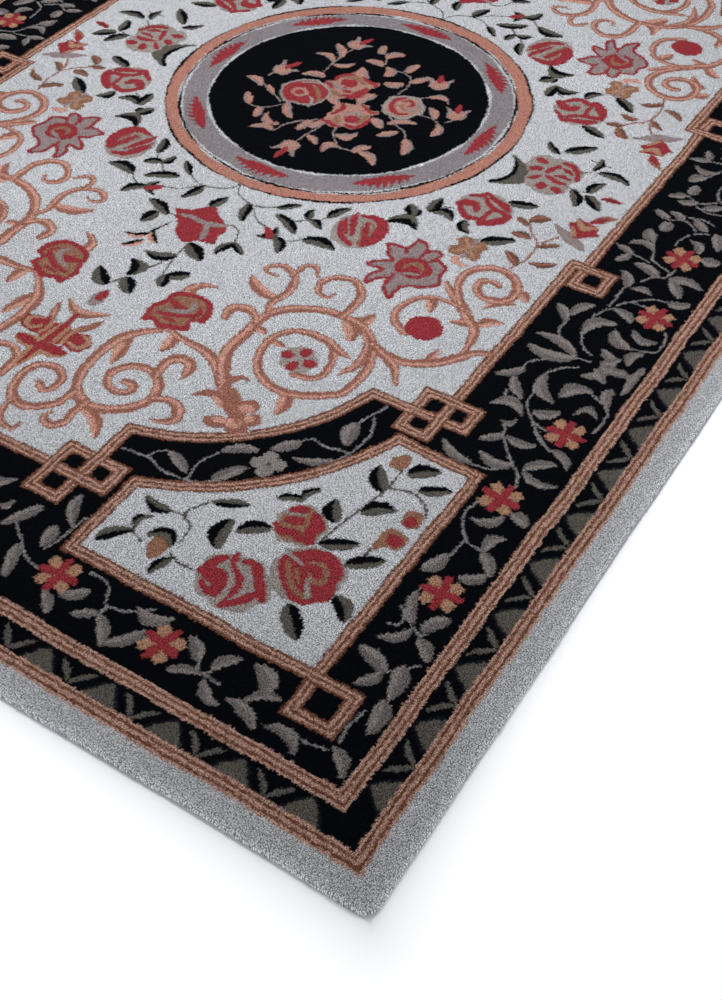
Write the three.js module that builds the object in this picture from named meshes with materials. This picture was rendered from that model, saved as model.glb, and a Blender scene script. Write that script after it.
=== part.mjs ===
// Wool rug, 6 ft by 9 ft, lying flat on its backing.
// One solid: a cut-pile slab whose rim bulges and rounds over as the outer tufts lean out.
// Millimetres, +Z up. The long sides run along Y. The origin is under the middle of the rug.

import * as THREE from 'three';

// Driving dimensions
const RUG_WIDTH = 1829;
const RUG_LENGTH = 2743;
const BACKING_THICKNESS = 3;
const PILE_HEIGHT = 9.5;
const CORNER_RADIUS = 16;

// The hand-cut edge wanders by a few millimetres. Each wave goes a whole number of times round.
const EDGE_WAVES = [
  { amplitude: 1.3, timesRound: 9, phase: 0.4 },
  { amplitude: 0.8, timesRound: 23, phase: 1.9 },
  { amplitude: 0.4, timesRound: 61, phase: 3.1 },
];

// Steps along the outline
const STEPS_LONG_SIDE = 64;
const STEPS_SHORT_SIDE = 42;
const STEPS_CORNER = 6;

// The rim's section from the floor up: inset from the widest line, and height as a share
// of the whole thickness
const RIM_SECTION = [
  { inset: 3.2, rise: 0.0 },
  { inset: 1.2, rise: 0.13 },
  { inset: 0.1, rise: 0.34 },
  { inset: 0.0, rise: 0.52 },
  { inset: 0.8, rise: 0.72 },
  { inset: 2.6, rise: 0.88 },
  { inset: 5.2, rise: 0.97 },
  { inset: 9.0, rise: 1.0 },
];

const THICKNESS = BACKING_THICKNESS + PILE_HEIGHT;
const PILE_COLOUR = 0xb9bdbd;

// Outline as { point, normal } pairs, anticlockwise seen from above: four straight sides
// joined by quarter circles.
function straightOutline() {
  const halfWidth = RUG_WIDTH / 2;
  const halfLength = RUG_LENGTH / 2;
  const sides = [
    { turn: 0, along: halfLength, across: halfWidth, steps: STEPS_LONG_SIDE },
    { turn: 1, along: halfWidth, across: halfLength, steps: STEPS_SHORT_SIDE },
    { turn: 2, along: halfLength, across: halfWidth, steps: STEPS_LONG_SIDE },
    { turn: 3, along: halfWidth, across: halfLength, steps: STEPS_SHORT_SIDE },
  ];
  const outline = [];
  for (const side of sides) {
    const angle = side.turn * Math.PI / 2;
    const outward = new THREE.Vector2(Math.cos(angle), Math.sin(angle));
    const forward = new THREE.Vector2(-Math.sin(angle), Math.cos(angle));
    const reach = side.along - CORNER_RADIUS;
    for (let i = 0; i < side.steps; i++) {
      const t = -reach + 2 * reach * i / side.steps;
      const point = outward.clone().multiplyScalar(side.across).addScaledVector(forward, t);
      outline.push({ point, normal: outward.clone() });
    }
    const centre = outward.clone().multiplyScalar(side.across - CORNER_RADIUS)
      .addScaledVector(forward, reach);
    for (let i = 0; i < STEPS_CORNER; i++) {
      const bend = angle + Math.PI / 2 * i / STEPS_CORNER;
      const normal = new THREE.Vector2(Math.cos(bend), Math.sin(bend));
      outline.push({ point: centre.clone().addScaledVector(normal, CORNER_RADIUS), normal });
    }
  }
  return outline;
}

// Moves each outline point along its normal by the edge waves, which are read by the
// distance gone round, then centres the outline's box on the origin.
function unevenOutline() {
  const outline = straightOutline();
  let perimeter = 0;
  const gone = outline.map((entry, i) => {
    const next = outline[(i + 1) % outline.length];
    const start = perimeter;
    perimeter += entry.point.distanceTo(next.point);
    return start;
  });
  outline.forEach((entry, i) => {
    let shift = 0;
    for (const wave of EDGE_WAVES) {
      const turn = 2 * Math.PI * wave.timesRound * gone[i] / perimeter;
      shift += wave.amplitude * Math.sin(turn + wave.phase);
    }
    entry.point.addScaledVector(entry.normal, shift);
  });
  const box = new THREE.Box2().setFromPoints(outline.map((entry) => entry.point));
  const middle = box.getCenter(new THREE.Vector2());
  for (const entry of outline) {
    entry.point.sub(middle);
  }
  return outline;
}

// Stacks one ring of the outline for each row of the rim section, drawn in by its inset,
// joins the rings with quads cut in two, and closes the bottom and the top.
function rugGeometry() {
  const outline = unevenOutline();
  const count = outline.length;
  const positions = [];
  const faces = [];
  for (const row of RIM_SECTION) {
    for (const { point, normal } of outline) {
      positions.push(
        point.x - row.inset * normal.x,
        point.y - row.inset * normal.y,
        row.rise * THICKNESS,
      );
    }
  }
  for (let ring = 0; ring < RIM_SECTION.length - 1; ring++) {
    for (let i = 0; i < count; i++) {
      const a = ring * count + i;
      const b = ring * count + (i + 1) % count;
      faces.push(a, b, b + count, a, b + count, a + count);
    }
  }
  const topStart = (RIM_SECTION.length - 1) * count;
  const contour = outline.map(({ point }) => point);
  for (const [a, b, c] of THREE.ShapeUtils.triangulateShape(contour, [])) {
    faces.push(c, b, a);
    faces.push(topStart + a, topStart + b, topStart + c);
  }
  const geometry = new THREE.BufferGeometry();
  geometry.setAttribute('position', new THREE.Float32BufferAttribute(positions, 3));
  geometry.setIndex(faces);
  geometry.computeVertexNormals();
  return geometry;
}

const pileMaterial = new THREE.MeshStandardMaterial({
  color: PILE_COLOUR,
  roughness: 0.95,
  metalness: 0,
});

const rug = new THREE.Mesh(rugGeometry(), pileMaterial);
rug.name = 'rug';

const model = new THREE.Group();
model.add(rug);

export default model;
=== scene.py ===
"""Hand-tufted wool rug, 6 ft by 9 ft, with a floral medallion design in cut pile.

The pile is a grid of tufts with one patch of colour at each corner of each tuft. The colours are
read off a chart of the design, which is painted cell by cell from ribbons, stems, leaves and
flowers placed by short tables. Laid out as a Blender add-on and run as a script.
"""

import math

import bpy
import numpy as np
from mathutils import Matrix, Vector


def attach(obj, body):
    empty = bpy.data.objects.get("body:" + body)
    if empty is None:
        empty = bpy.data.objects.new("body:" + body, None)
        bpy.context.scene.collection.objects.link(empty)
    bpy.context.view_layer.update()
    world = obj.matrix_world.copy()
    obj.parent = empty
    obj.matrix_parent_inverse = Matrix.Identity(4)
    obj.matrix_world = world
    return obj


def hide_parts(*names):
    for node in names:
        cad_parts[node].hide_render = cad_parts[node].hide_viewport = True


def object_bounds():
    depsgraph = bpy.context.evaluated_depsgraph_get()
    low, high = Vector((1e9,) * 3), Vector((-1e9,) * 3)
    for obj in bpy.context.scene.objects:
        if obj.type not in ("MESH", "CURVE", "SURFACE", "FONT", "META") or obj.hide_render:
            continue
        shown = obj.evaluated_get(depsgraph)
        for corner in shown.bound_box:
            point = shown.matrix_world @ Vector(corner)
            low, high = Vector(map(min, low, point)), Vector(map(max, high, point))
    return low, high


bl_info = {
    "name": "Tufted Wool Rug",
    "version": (1, 0, 0),
    "blender": (4, 5, 0),
    "location": "View3D > Sidebar > Rug",
    "description": "Builds a cut-pile wool rug with a medallion, corner panels and a vine border",
    "category": "Object",
}

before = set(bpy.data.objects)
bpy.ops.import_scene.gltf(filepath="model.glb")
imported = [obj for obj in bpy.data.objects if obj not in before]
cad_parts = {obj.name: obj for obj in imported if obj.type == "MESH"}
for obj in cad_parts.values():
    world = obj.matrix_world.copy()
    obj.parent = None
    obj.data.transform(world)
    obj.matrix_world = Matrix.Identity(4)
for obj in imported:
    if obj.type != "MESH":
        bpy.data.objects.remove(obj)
CAD_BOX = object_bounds()

MM = 0.001
BODY = "root"
NODE = "rug"

# Sizes from the frame, in millimetres. The outline wanders by up to EDGE_WANDER past the cut size.
EDGE_WANDER = 2.2
HALF_WIDTH = (CAD_BOX[1][0] - CAD_BOX[0][0]) / 2 / MM - EDGE_WANDER
HALF_LENGTH = (CAD_BOX[1][1] - CAD_BOX[0][1]) / 2 / MM - EDGE_WANDER
THICKNESS = (CAD_BOX[1][2] - CAD_BOX[0][2]) / MM

# Yarn numbers on the chart, in the order of the colours in RugYarns
(EDGE, BLACK, NAVY, IVORY, RUST, PEACH, GOLD, BROWN, RED, WINE, TAUPE, OLIVE, GREY, STEM,
 MAUVE, WHITE, FERN, LEAF, ASH, OCHRE, SALMON, COPPER, CORAL) = range(23)

# Which mirror images of a motif are painted: (left to right, end to end)
ALL_FOUR = ((1, 1), (-1, 1), (1, -1), (-1, -1))
BOTH_SIDES = ((1, 1), (-1, 1))
BOTH_ENDS = ((1, 1), (1, -1))
ONCE = ((1, 1),)


# Tools for the chart


class Chart:
    """The design as a grid of yarn numbers, one for each cell of `step` millimetres."""

    def __init__(self, step):
        self.step = step
        rows, cols = round(2 * HALF_LENGTH / step), round(2 * HALF_WIDTH / step)
        self.yarn = np.full((rows, cols), EDGE, np.uint8)
        self.low = np.array([-HALF_WIDTH, -HALF_LENGTH])

    def window(self, low, high):
        """The cells between two corners: row and column limits, and each cell's X and Y."""
        rows, cols = self.yarn.shape
        c0, r0 = np.maximum(np.floor((np.asarray(low) - self.low) / self.step), 0).astype(int)
        c1, r1 = np.ceil((np.asarray(high) - self.low) / self.step).astype(int)
        limits = (r0, max(r0, min(r1, rows)), c0, max(c0, min(c1, cols)))
        x = self.low[0] + (np.arange(limits[2], limits[3]) + 0.5) * self.step
        y = self.low[1] + (np.arange(limits[0], limits[1]) + 0.5) * self.step
        return limits, *np.meshgrid(x, y)

    def cell(self, x, y):
        """The row and the column of each place."""
        rows, cols = self.yarn.shape
        c = np.clip(((x - self.low[0]) / self.step).astype(int), 0, cols - 1)
        r = np.clip(((y - self.low[1]) / self.step).astype(int), 0, rows - 1)
        return r, c

    def stamp(self, limits, mask, yarn, copies):
        """Paints the masked cells with a yarn, or with an array of yarns, on each mirror image."""
        r0, r1, c0, c1 = limits
        rows, cols = self.yarn.shape
        for across, along in copies:
            r = slice(r0, r1) if along > 0 else slice(rows - r1, rows - r0)
            c = slice(c0, c1) if across > 0 else slice(cols - c1, cols - c0)
            turned = mask[::along, ::across]
            part = self.yarn[r, c]
            part[turned] = yarn[::along, ::across][turned] if np.ndim(yarn) else yarn


def at(u, v):
    """A place given by its distance in from a long side, and in from the near end, in mm."""
    return np.array([HALF_WIDTH - u, v - HALF_LENGTH])


def smooth(points, closed=False, spacing=3.5):
    """A Catmull-Rom curve through the points: each span is the cubic whose slope at a point is
    half the step between that point's neighbours. Returned as closely spaced points. A closed
    curve goes on to its first point."""
    p = np.array([at(u, v) for u, v in points])
    if closed:
        p = np.vstack([p[-1], p, p[:2]])
    else:
        p = np.vstack([2 * p[0] - p[1], p, 2 * p[-1] - p[-2]])
    spans = []
    for a, b, c, d in zip(p[:-3], p[1:-2], p[2:-1], p[3:]):
        steps = max(2, int(np.hypot(*(c - b)) / spacing))
        t = np.arange(steps)[:, None] / steps
        cubic = (2 * b + (c - a) * t + (2 * a - 5 * b + 4 * c - d) * t ** 2
                 + (3 * b - a - 3 * c + d) * t ** 3)
        spans.append(cubic / 2)
    return np.vstack(spans + [p[-2:-1]])


def follow(chart, path, reach):
    """For the cells within reach of a path: the distance to it, the side (+1 on the left) and
    how far along it the nearest point is, from 0 to 1."""
    limits, x, y = chart.window(path.min(0) - reach, path.max(0) + reach)
    near = np.full(x.shape, 1e9)
    side = np.ones(x.shape)
    along = np.zeros(x.shape)
    steps = np.diff(path, axis=0)
    lengths = np.hypot(*steps.T)
    ends = np.concatenate([[0], np.cumsum(lengths)]) / lengths.sum()
    for i, ((ax, ay), (dx, dy)) in enumerate(zip(path[:-1], steps)):
        lo = np.minimum(path[i], path[i + 1]) - reach
        hi = np.maximum(path[i], path[i + 1]) + reach
        (r0, r1, c0, c1), _, _ = chart.window(lo, hi)
        cut = (slice(r0 - limits[0], r1 - limits[0]), slice(c0 - limits[2], c1 - limits[2]))
        px, py = x[cut] - ax, y[cut] - ay
        t = np.clip((px * dx + py * dy) / (lengths[i] ** 2), 0, 1)
        away = np.hypot(px - t * dx, py - t * dy)
        closer = away < near[cut]
        near[cut][closer] = away[closer]
        side[cut][closer] = np.sign(dx * py - dy * px + 1e-9)[closer]
        along[cut][closer] = (ends[i] + t * (ends[i + 1] - ends[i]))[closer]
    return limits, near, side, along


# Motifs of the chart

# How far the cells of two spans may overlap at a mitre, in mm
MITRE_SLACK = 0.01
# A scroll's dark side begins, and its thin dark rim ends, at these shares of its half width
DARK_SIDE = 0.1
DARK_RIM = -0.66
# How far up a leaf is widest: the power of the way along it
LEAF_BELLY = 0.85
# The petals and arms of a rosette, as shares of its radius: how far out the petals lie, their half
# sizes and raggedness, and the width of an arm at each distance from the middle
PETAL_AWAY, PETAL_LENGTH, PETAL_WIDTH, PETAL_RAGGED = 0.58, 0.46, 0.34, 0.10
ARM = ((-0.82, 0.36), (-0.6, 0.48), (0, 0.26), (0.6, 0.48), (0.82, 0.36))


def fill(chart, corners, yarn, copies, rounded=False):
    """Paints the inside of an outline, straight-sided or rounded: a cell is inside if a line from
    it to the left crosses the outline an odd number of times."""
    p = smooth(corners, closed=True) if rounded else np.array([at(u, v) for u, v in corners])
    limits, x, y = chart.window(p.min(0), p.max(0))
    inside = np.zeros(x.shape, bool)
    for (ax, ay), (bx, by) in zip(p, np.roll(p, -1, axis=0)):
        if ay != by:
            crosses = (ay > y) != (by > y)
            inside ^= crosses & (x < (bx - ax) * (y - ay) / (by - ay) + ax)
    chart.stamp(limits, inside, yarn, copies)


def ribbon(chart, points, width, rows, copies):
    """A band of parallel rows of yarn along straight spans, with mitred corners: a cell belongs
    to a span if it lies between the lines that halve the angles at the span's ends."""
    p = np.array([at(u, v) for u, v in points])
    steps = np.diff(p, axis=0)
    steps /= np.hypot(*steps.T)[:, None]
    turns = np.cross(steps[:-1], steps[1:]) / (1 + (steps[:-1] * steps[1:]).sum(1))
    turns = np.concatenate([[0], turns, [0]])
    half = width / 2
    rows = np.array(rows)
    for i, (dx, dy) in enumerate(steps):
        a, b = p[i], p[i + 1]
        limits, x, y = chart.window(np.minimum(a, b) - half, np.maximum(a, b) + half)
        s = (x - a[0]) * dx + (y - a[1]) * dy
        d = (y - a[1]) * dx - (x - a[0]) * dy
        length = np.hypot(*(b - a))
        mask = (np.abs(d) <= half) & (s >= d * turns[i] - MITRE_SLACK)
        mask &= s <= length - d * turns[i + 1] + MITRE_SLACK
        row = np.clip(((d + half) / width * len(rows)).astype(int), 0, len(rows) - 1)
        chart.stamp(limits, mask, rows[row], copies)


def stem(chart, points, width, yarn, copies):
    """A thin line of one yarn along a smooth curve."""
    limits, near, _, _ = follow(chart, smooth(points), width)
    chart.stamp(limits, near < width / 2, yarn, copies)


def scroll(chart, points, widths, copies, shade=1, light=PEACH, dark=RUST):
    """A scrolling stroke that swells and thins along a smooth curve. The side named by shade is
    dark, and so is a thin rim on the other side."""
    limits, near, side, along = follow(chart, smooth(points), max(widths))
    half = np.interp(along, np.linspace(0, 1, len(widths)), widths) / 2
    mask = near < half
    off = side * shade * near
    yarns = np.where((off > DARK_SIDE * half) | (off < DARK_RIM * half), dark, light)
    chart.stamp(limits, mask, yarns, copies)


def leaf(chart, u, v, u2, v2, width, bend, left, right, copies, blunt=0.54):
    """A pointed leaf from its base to its tip. Its midrib is a parabola that bows to the left by
    bend times the length, and its half width is a power of a sine along it. The two halves
    have their own yarns."""
    base, tip = at(u, v), at(u2, v2)
    span = tip - base
    length = np.hypot(*span)
    dx, dy = span / length
    reach = width / 2 + abs(bend) * length
    limits, x, y = chart.window(np.minimum(base, tip) - reach, np.maximum(base, tip) + reach)
    s = ((x - base[0]) * dx + (y - base[1]) * dy) / length
    d = (y - base[1]) * dx - (x - base[0]) * dy
    inside = (s > 0) & (s < 1)
    s = np.clip(s, 0, 1)
    off = d - bend * length * 4 * s * (1 - s)
    half = width / 2 * np.sin(np.pi * s ** LEAF_BELLY) ** blunt
    chart.stamp(limits, inside & (np.abs(off) < half), np.where(off > 0, left, right), copies)


def local(chart, u, v, ru, rv, turn, spread=1.25):
    """The cells round a flower, as distance and angle in its own turned and stretched frame."""
    centre = at(u, v)
    reach = spread * max(ru, rv)
    limits, x, y = chart.window(centre - reach, centre + reach)
    c, s = math.cos(math.radians(turn)), math.sin(math.radians(turn))
    px, py = x - centre[0], y - centre[1]
    a, b = (px * c + py * s) / ru, (py * c - px * s) / rv
    return limits, np.hypot(a, b), np.arctan2(b, a), a, b


def oval(chart, u, v, ru, rv, turn, yarn, copies, ragged=0.0):
    """A filled oval, its edge waved by a ragged share of its size."""
    limits, r, angle, _, _ = local(chart, u, v, ru, rv, turn)
    edge = 1 + ragged * (np.sin(5 * angle + 0.7) + 0.6 * np.sin(9 * angle + 2.1))
    chart.stamp(limits, r < edge, yarn, copies)


def brush(chart, points, widths, yarn, copies):
    """A line of one yarn that swells and thins along a smooth curve."""
    scroll(chart, points, widths, copies, light=yarn, dark=yarn)


def draw(chart, rows, copies):
    """Paints a motif from its rows in order. After its yarn a row gives an oval (u, v, half width,
    half height, turn and ragged share), a brushed line (widths, points) or an outline (points)."""
    for yarn, *shape in rows:
        if len(shape) == 6:
            oval(chart, *shape[:5], yarn, copies, shape[5])
        elif len(shape) == 2:
            brush(chart, shape[1], shape[0], yarn, copies)
        else:
            fill(chart, shape[0], yarn, copies, rounded=True)


def rosette(chart, u, v, radius, turn, copies):
    """A red cross with swelling arms over four gold petals that stand between them."""
    def out(angle, away):
        a = math.radians(angle + turn)
        return u + away * math.cos(a), v + away * math.sin(a)

    for angle in (45, 135, 225, 315):
        oval(chart, *out(angle, PETAL_AWAY * radius), PETAL_LENGTH * radius, PETAL_WIDTH * radius,
             -angle - turn, GOLD, copies, PETAL_RAGGED)
    for angle in (0, 90):
        arm = [out(angle, away * radius) for away, _ in ARM]
        brush(chart, arm, [share * radius for _, share in ARM], RED, copies)


# Where the design's parts lie, in mm from a long side and from the near end. Unless a comment says
# otherwise, each list is for the near right quarter of the rug, and its mirror images fill the rest.

# The fillets that part the bands: their rows of yarn, their widths and where their middles run
OUTER_ROWS = (SALMON, BROWN, SALMON, BROWN, SALMON)
INNER_ROWS = (BROWN, SALMON, BROWN, SALMON, BROWN)
OUTER_WIDTH = 21.5
INNER_WIDTH = 20.5
GUARD_FILLET = 39.5
BORDER_FILLET = 95.5
FIELD_SIDE = 319
FIELD_MIDDLE = 298
FIELD_END = 324
ARC_CENTRE = (773, 781)
# The radius of each corner arc, and the directions of its ends in degrees from +u to +v
FIELD_ARC = (352, 194.5, 256)
PANEL_ARC = (450, 199.5, 249.5)
PANEL_SIDE = 218
PANEL_END = 221
KNOT_STEP = 1132
# The black insides of the looped knots, and the short spans that pass over where a knot crosses
KNOT_HOLES = (
    ((268, 697), (268, 740), (370, 740), (370, 655), (320, 655), (320, 697)),
    ((643, 324), (643, 367), (735, 367), (735, 278), (687, 278), (687, 324)),
    ((252, 1085), (252, 1132), (298, 1132), (298, 1085)),
    ((160, 165), (160, 221), (220, 221), (220, 165)),
)
KNOT_CROSSINGS = (
    ((687, 385), (687, 347)),
    ((735, 350), (735, 300)),
    ((319, 720), (319, 672)),
)

MEDALLION_RINGS = (
    # outer radius, yarn, how far the ring's middle lies toward the near end
    (349, BLACK, 2),
    (345.5, COPPER, 2),
    (321.5, WHITE, 4),
    (320, BLACK, 4),
    (316.2, WHITE, 4),
    (312.5, MAUVE, 4),
    (269, WHITE, 1),
    (264.5, BLACK, 1),
)


def arc(radius, start, end, steps=18):
    """Points along the corner arc, from one direction to another, in degrees from +u to +v."""
    t = np.radians(np.linspace(start, end, steps))
    return [(ARC_CENTRE[0] + radius * math.cos(a), ARC_CENTRE[1] + radius * math.sin(a)) for a in t]


def paint_ground(chart):
    """The plain areas and the fillets, from the rug's edge inwards."""
    middle = (HALF_WIDTH + 1, HALF_LENGTH + 1)
    for depth, yarn in ((GUARD_FILLET, BLACK), (BORDER_FILLET, BLACK)):
        fill(chart, [(depth, depth), (depth, middle[1]), middle, (middle[0], depth)], yarn, ALL_FOUR)
    field = [(FIELD_MIDDLE, middle[1]), (FIELD_MIDDLE, KNOT_STEP), (FIELD_SIDE, KNOT_STEP)]
    field += [(FIELD_SIDE, 695)] + arc(*FIELD_ARC) + [(687, FIELD_END), (middle[0], FIELD_END), middle]
    fill(chart, field, IVORY, ALL_FOUR)
    panel = [(PANEL_SIDE, PANEL_END), (PANEL_SIDE, 624)] + arc(*PANEL_ARC) + [(614, PANEL_END)]
    fill(chart, panel, IVORY, ALL_FOUR)


def paint_fillets(chart):
    """The ribbons of five rows that part the bands, with their looped square knots."""
    for hole in KNOT_HOLES:
        fill(chart, hole, BLACK, ALL_FOUR)
    for depth in (GUARD_FILLET, BORDER_FILLET):
        corner = [(HALF_WIDTH + 1, depth), (depth, depth), (depth, HALF_LENGTH + 1)]
        ribbon(chart, corner, OUTER_WIDTH, OUTER_ROWS, ALL_FOUR)
    path = [(FIELD_MIDDLE, HALF_LENGTH + 2), (FIELD_MIDDLE, 1085), (252, 1085), (252, KNOT_STEP),
            (FIELD_SIDE, KNOT_STEP), (FIELD_SIDE, 655), (363, 655), (363, 740), (279, 740), (279, 697)]
    path += arc(*FIELD_ARC)
    path += [(687, 278), (735, 278), (735, 367), (643, 367), (643, FIELD_END),
             (HALF_WIDTH + 2, FIELD_END)]
    ribbon(chart, path, INNER_WIDTH, INNER_ROWS, ALL_FOUR)
    for over in KNOT_CROSSINGS:
        ribbon(chart, over, INNER_WIDTH, INNER_ROWS, ALL_FOUR)
    path = [(PANEL_SIDE, 190), (PANEL_SIDE, 624)] + arc(*PANEL_ARC)
    path += [(614, PANEL_END), (160, PANEL_END), (160, 165), (PANEL_SIDE, 165),
             (PANEL_SIDE, PANEL_END - 11)]
    ribbon(chart, path, INNER_WIDTH, INNER_ROWS, ALL_FOUR)


# The guard strip's repeat: the half side, where the first tooth stands, how many repeats there
# are from there to the middle, and whether it is a long side
GUARD_RUNS = (
    (HALF_LENGTH, 130, 12.5, True),
    (HALF_WIDTH, 125, 8, False),
)

# A tooth and its shadow: half width and how much taller it is, in mm, and its yarn
TOOTH = ((32, 4, NAVY), (27, 0, OLIVE))
TOOTH_SHOULDER = 1.35
TOOTH_POINTS = 15
# The two leaves of a V: how far apart their tips are from its middle, their width and bend
V_REACH, V_WIDTH, V_BEND, V_BLUNT = 26, 8, 0.05, 0.5


def paint_guard(chart):
    """The guard strip: a repeat of one round-shouldered tooth and one V of two thin leaves, about
    100 mm long, standing on the outer fillet."""
    base, tip = GUARD_FILLET + 9, BORDER_FILLET - 16
    for half, first, count, long_side in GUARD_RUNS:
        pitch = (half - first) / count
        for centre in first + pitch * np.arange(math.ceil(count) + 1):

            def place(depth, run, start=centre):
                return (depth, start + run) if long_side else (start + run, depth)

            for width, rise, yarn in TOOTH:
                tooth = [place(base + (tip - base + rise) * (1 - abs(t) ** TOOTH_SHOULDER), width * t)
                         for t in np.linspace(-1, 1, TOOTH_POINTS)]
                fill(chart, tooth, yarn, ALL_FOUR)
            for way in (-1, 1):
                low = place(base + 3, pitch / 2 + way)
                high = place(tip - 1, pitch / 2 + V_REACH * way)
                bend = V_BEND * way * (1 if long_side else -1)
                leaf(chart, *low, *high, V_WIDTH, bend, FERN, FERN, ALL_FOUR, blunt=V_BLUNT)


# The width of the stems in the borders, the panels, the field, the sprigs and the bouquet, in mm
BORDER_STEM, PANEL_STEM, FIELD_STEM, SPRIG_STEM, BOUQUET_STEM = 3.4, 3.6, 3.0, 4.2, 3.2

BORDER_STEMS = (
    ((193, 750), (178, 738), (160, 727)),
    ((236, 743), (229, 730), (223, 715), (205, 692), (187, 672)),
    ((185, 672), (205, 650), (222, 644), (240, 643)),
    ((185, 672), (170, 655), (163, 633)),
    ((193, 590), (200, 560), (190, 535), (173, 515), (143, 508)),
    ((173, 515), (177, 477)),
    ((182, 412), (185, 390), (173, 350), (187, 340)),
    ((187, 372), (148, 347), (135, 352)),
    ((117, 307), (126, 298), (148, 275)),
    ((142, 212), (146, 185), (143, 158)),
    ((150, 142), (177, 137), (192, 141)),
    ((330, 158), (345, 150), (355, 165), (372, 181)),
    ((310, 150), (337, 151)),
    ((430, 160), (446, 150)),
    ((560, 202), (536, 200), (520, 192), (504, 170), (470, 182), (452, 198)),
    ((504, 170), (504, 154)),
    ((623, 170), (651, 176), (672, 192), (701, 214)),
    ((628, 270), (633, 225), (640, 200)),
    ((252, 952), (265, 971), (265, 1000)),
    ((216, 928), (190, 929)),
    ((199, 946), (213, 952), (230, 977), (235, 1004), (234, 1029), (224, 1054), (213, 1066)),
    ((213, 1074), (199, 1095), (174, 1117), (149, 1125)),
    ((199, 1093), (175, 1094)),
    ((224, 1130), (225, 1100), (223, 1066)),
    ((154, 988), (133, 996), (116, 1004), (113, 1032), (121, 1054)),
    ((210, 1149), (197, 1169), (180, 1181), (172, 1206)),
    ((180, 1196), (213, 1211), (224, 1239), (235, 1261)),
    ((216, 1203), (249, 1210)),
    ((199, 1269), (199, 1289), (188, 1314), (166, 1328)),
    ((188, 1325), (216, 1342), (240, 1330)),
    ((213, 1389), (190, 1383), (165, 1390)),
)

# Stems and leaves of the vine between the long side's rosette and its forked middle, which the
# short side repeats
VINE_STEMS = (
    ((202, 910), (222, 893), (235, 868), (238, 850), (231, 821), (230, 802), (222, 788),
     (202, 763), (180, 744), (166, 730)),
    ((252, 898), (269, 879), (270, 858)),
    ((267, 806), (260, 784)),
    ((205, 767), (180, 760)),
    ((155, 864), (124, 849), (116, 827), (119, 794)),
)
VINE_LEAVES = (
    (213, 927, 291, 916, 24, 0.15),
    (158, 926, 189, 893, 18, 0.12),
    (176, 924, 150, 897, 15, -0.10),
    (128, 929, 162, 921, 13, 0.0),
    (235, 868, 194, 817, 22, -0.20),
    (267, 864, 298, 828, 17, 0.10),
    (272, 838, 238, 802, 18, -0.10),
    (276, 770, 222, 769, 22, 0.35),
    (244, 746, 226, 760, 12, -0.40),
    (213, 785, 179, 807, 20, -0.15),
    (194, 835, 155, 870, 24, 0.25),
    (161, 812, 124, 818, 15, 0.50),
    (127, 930, 120, 886, 13, 0.10),
    (138, 890, 124, 852, 18, -0.10),
)

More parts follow.
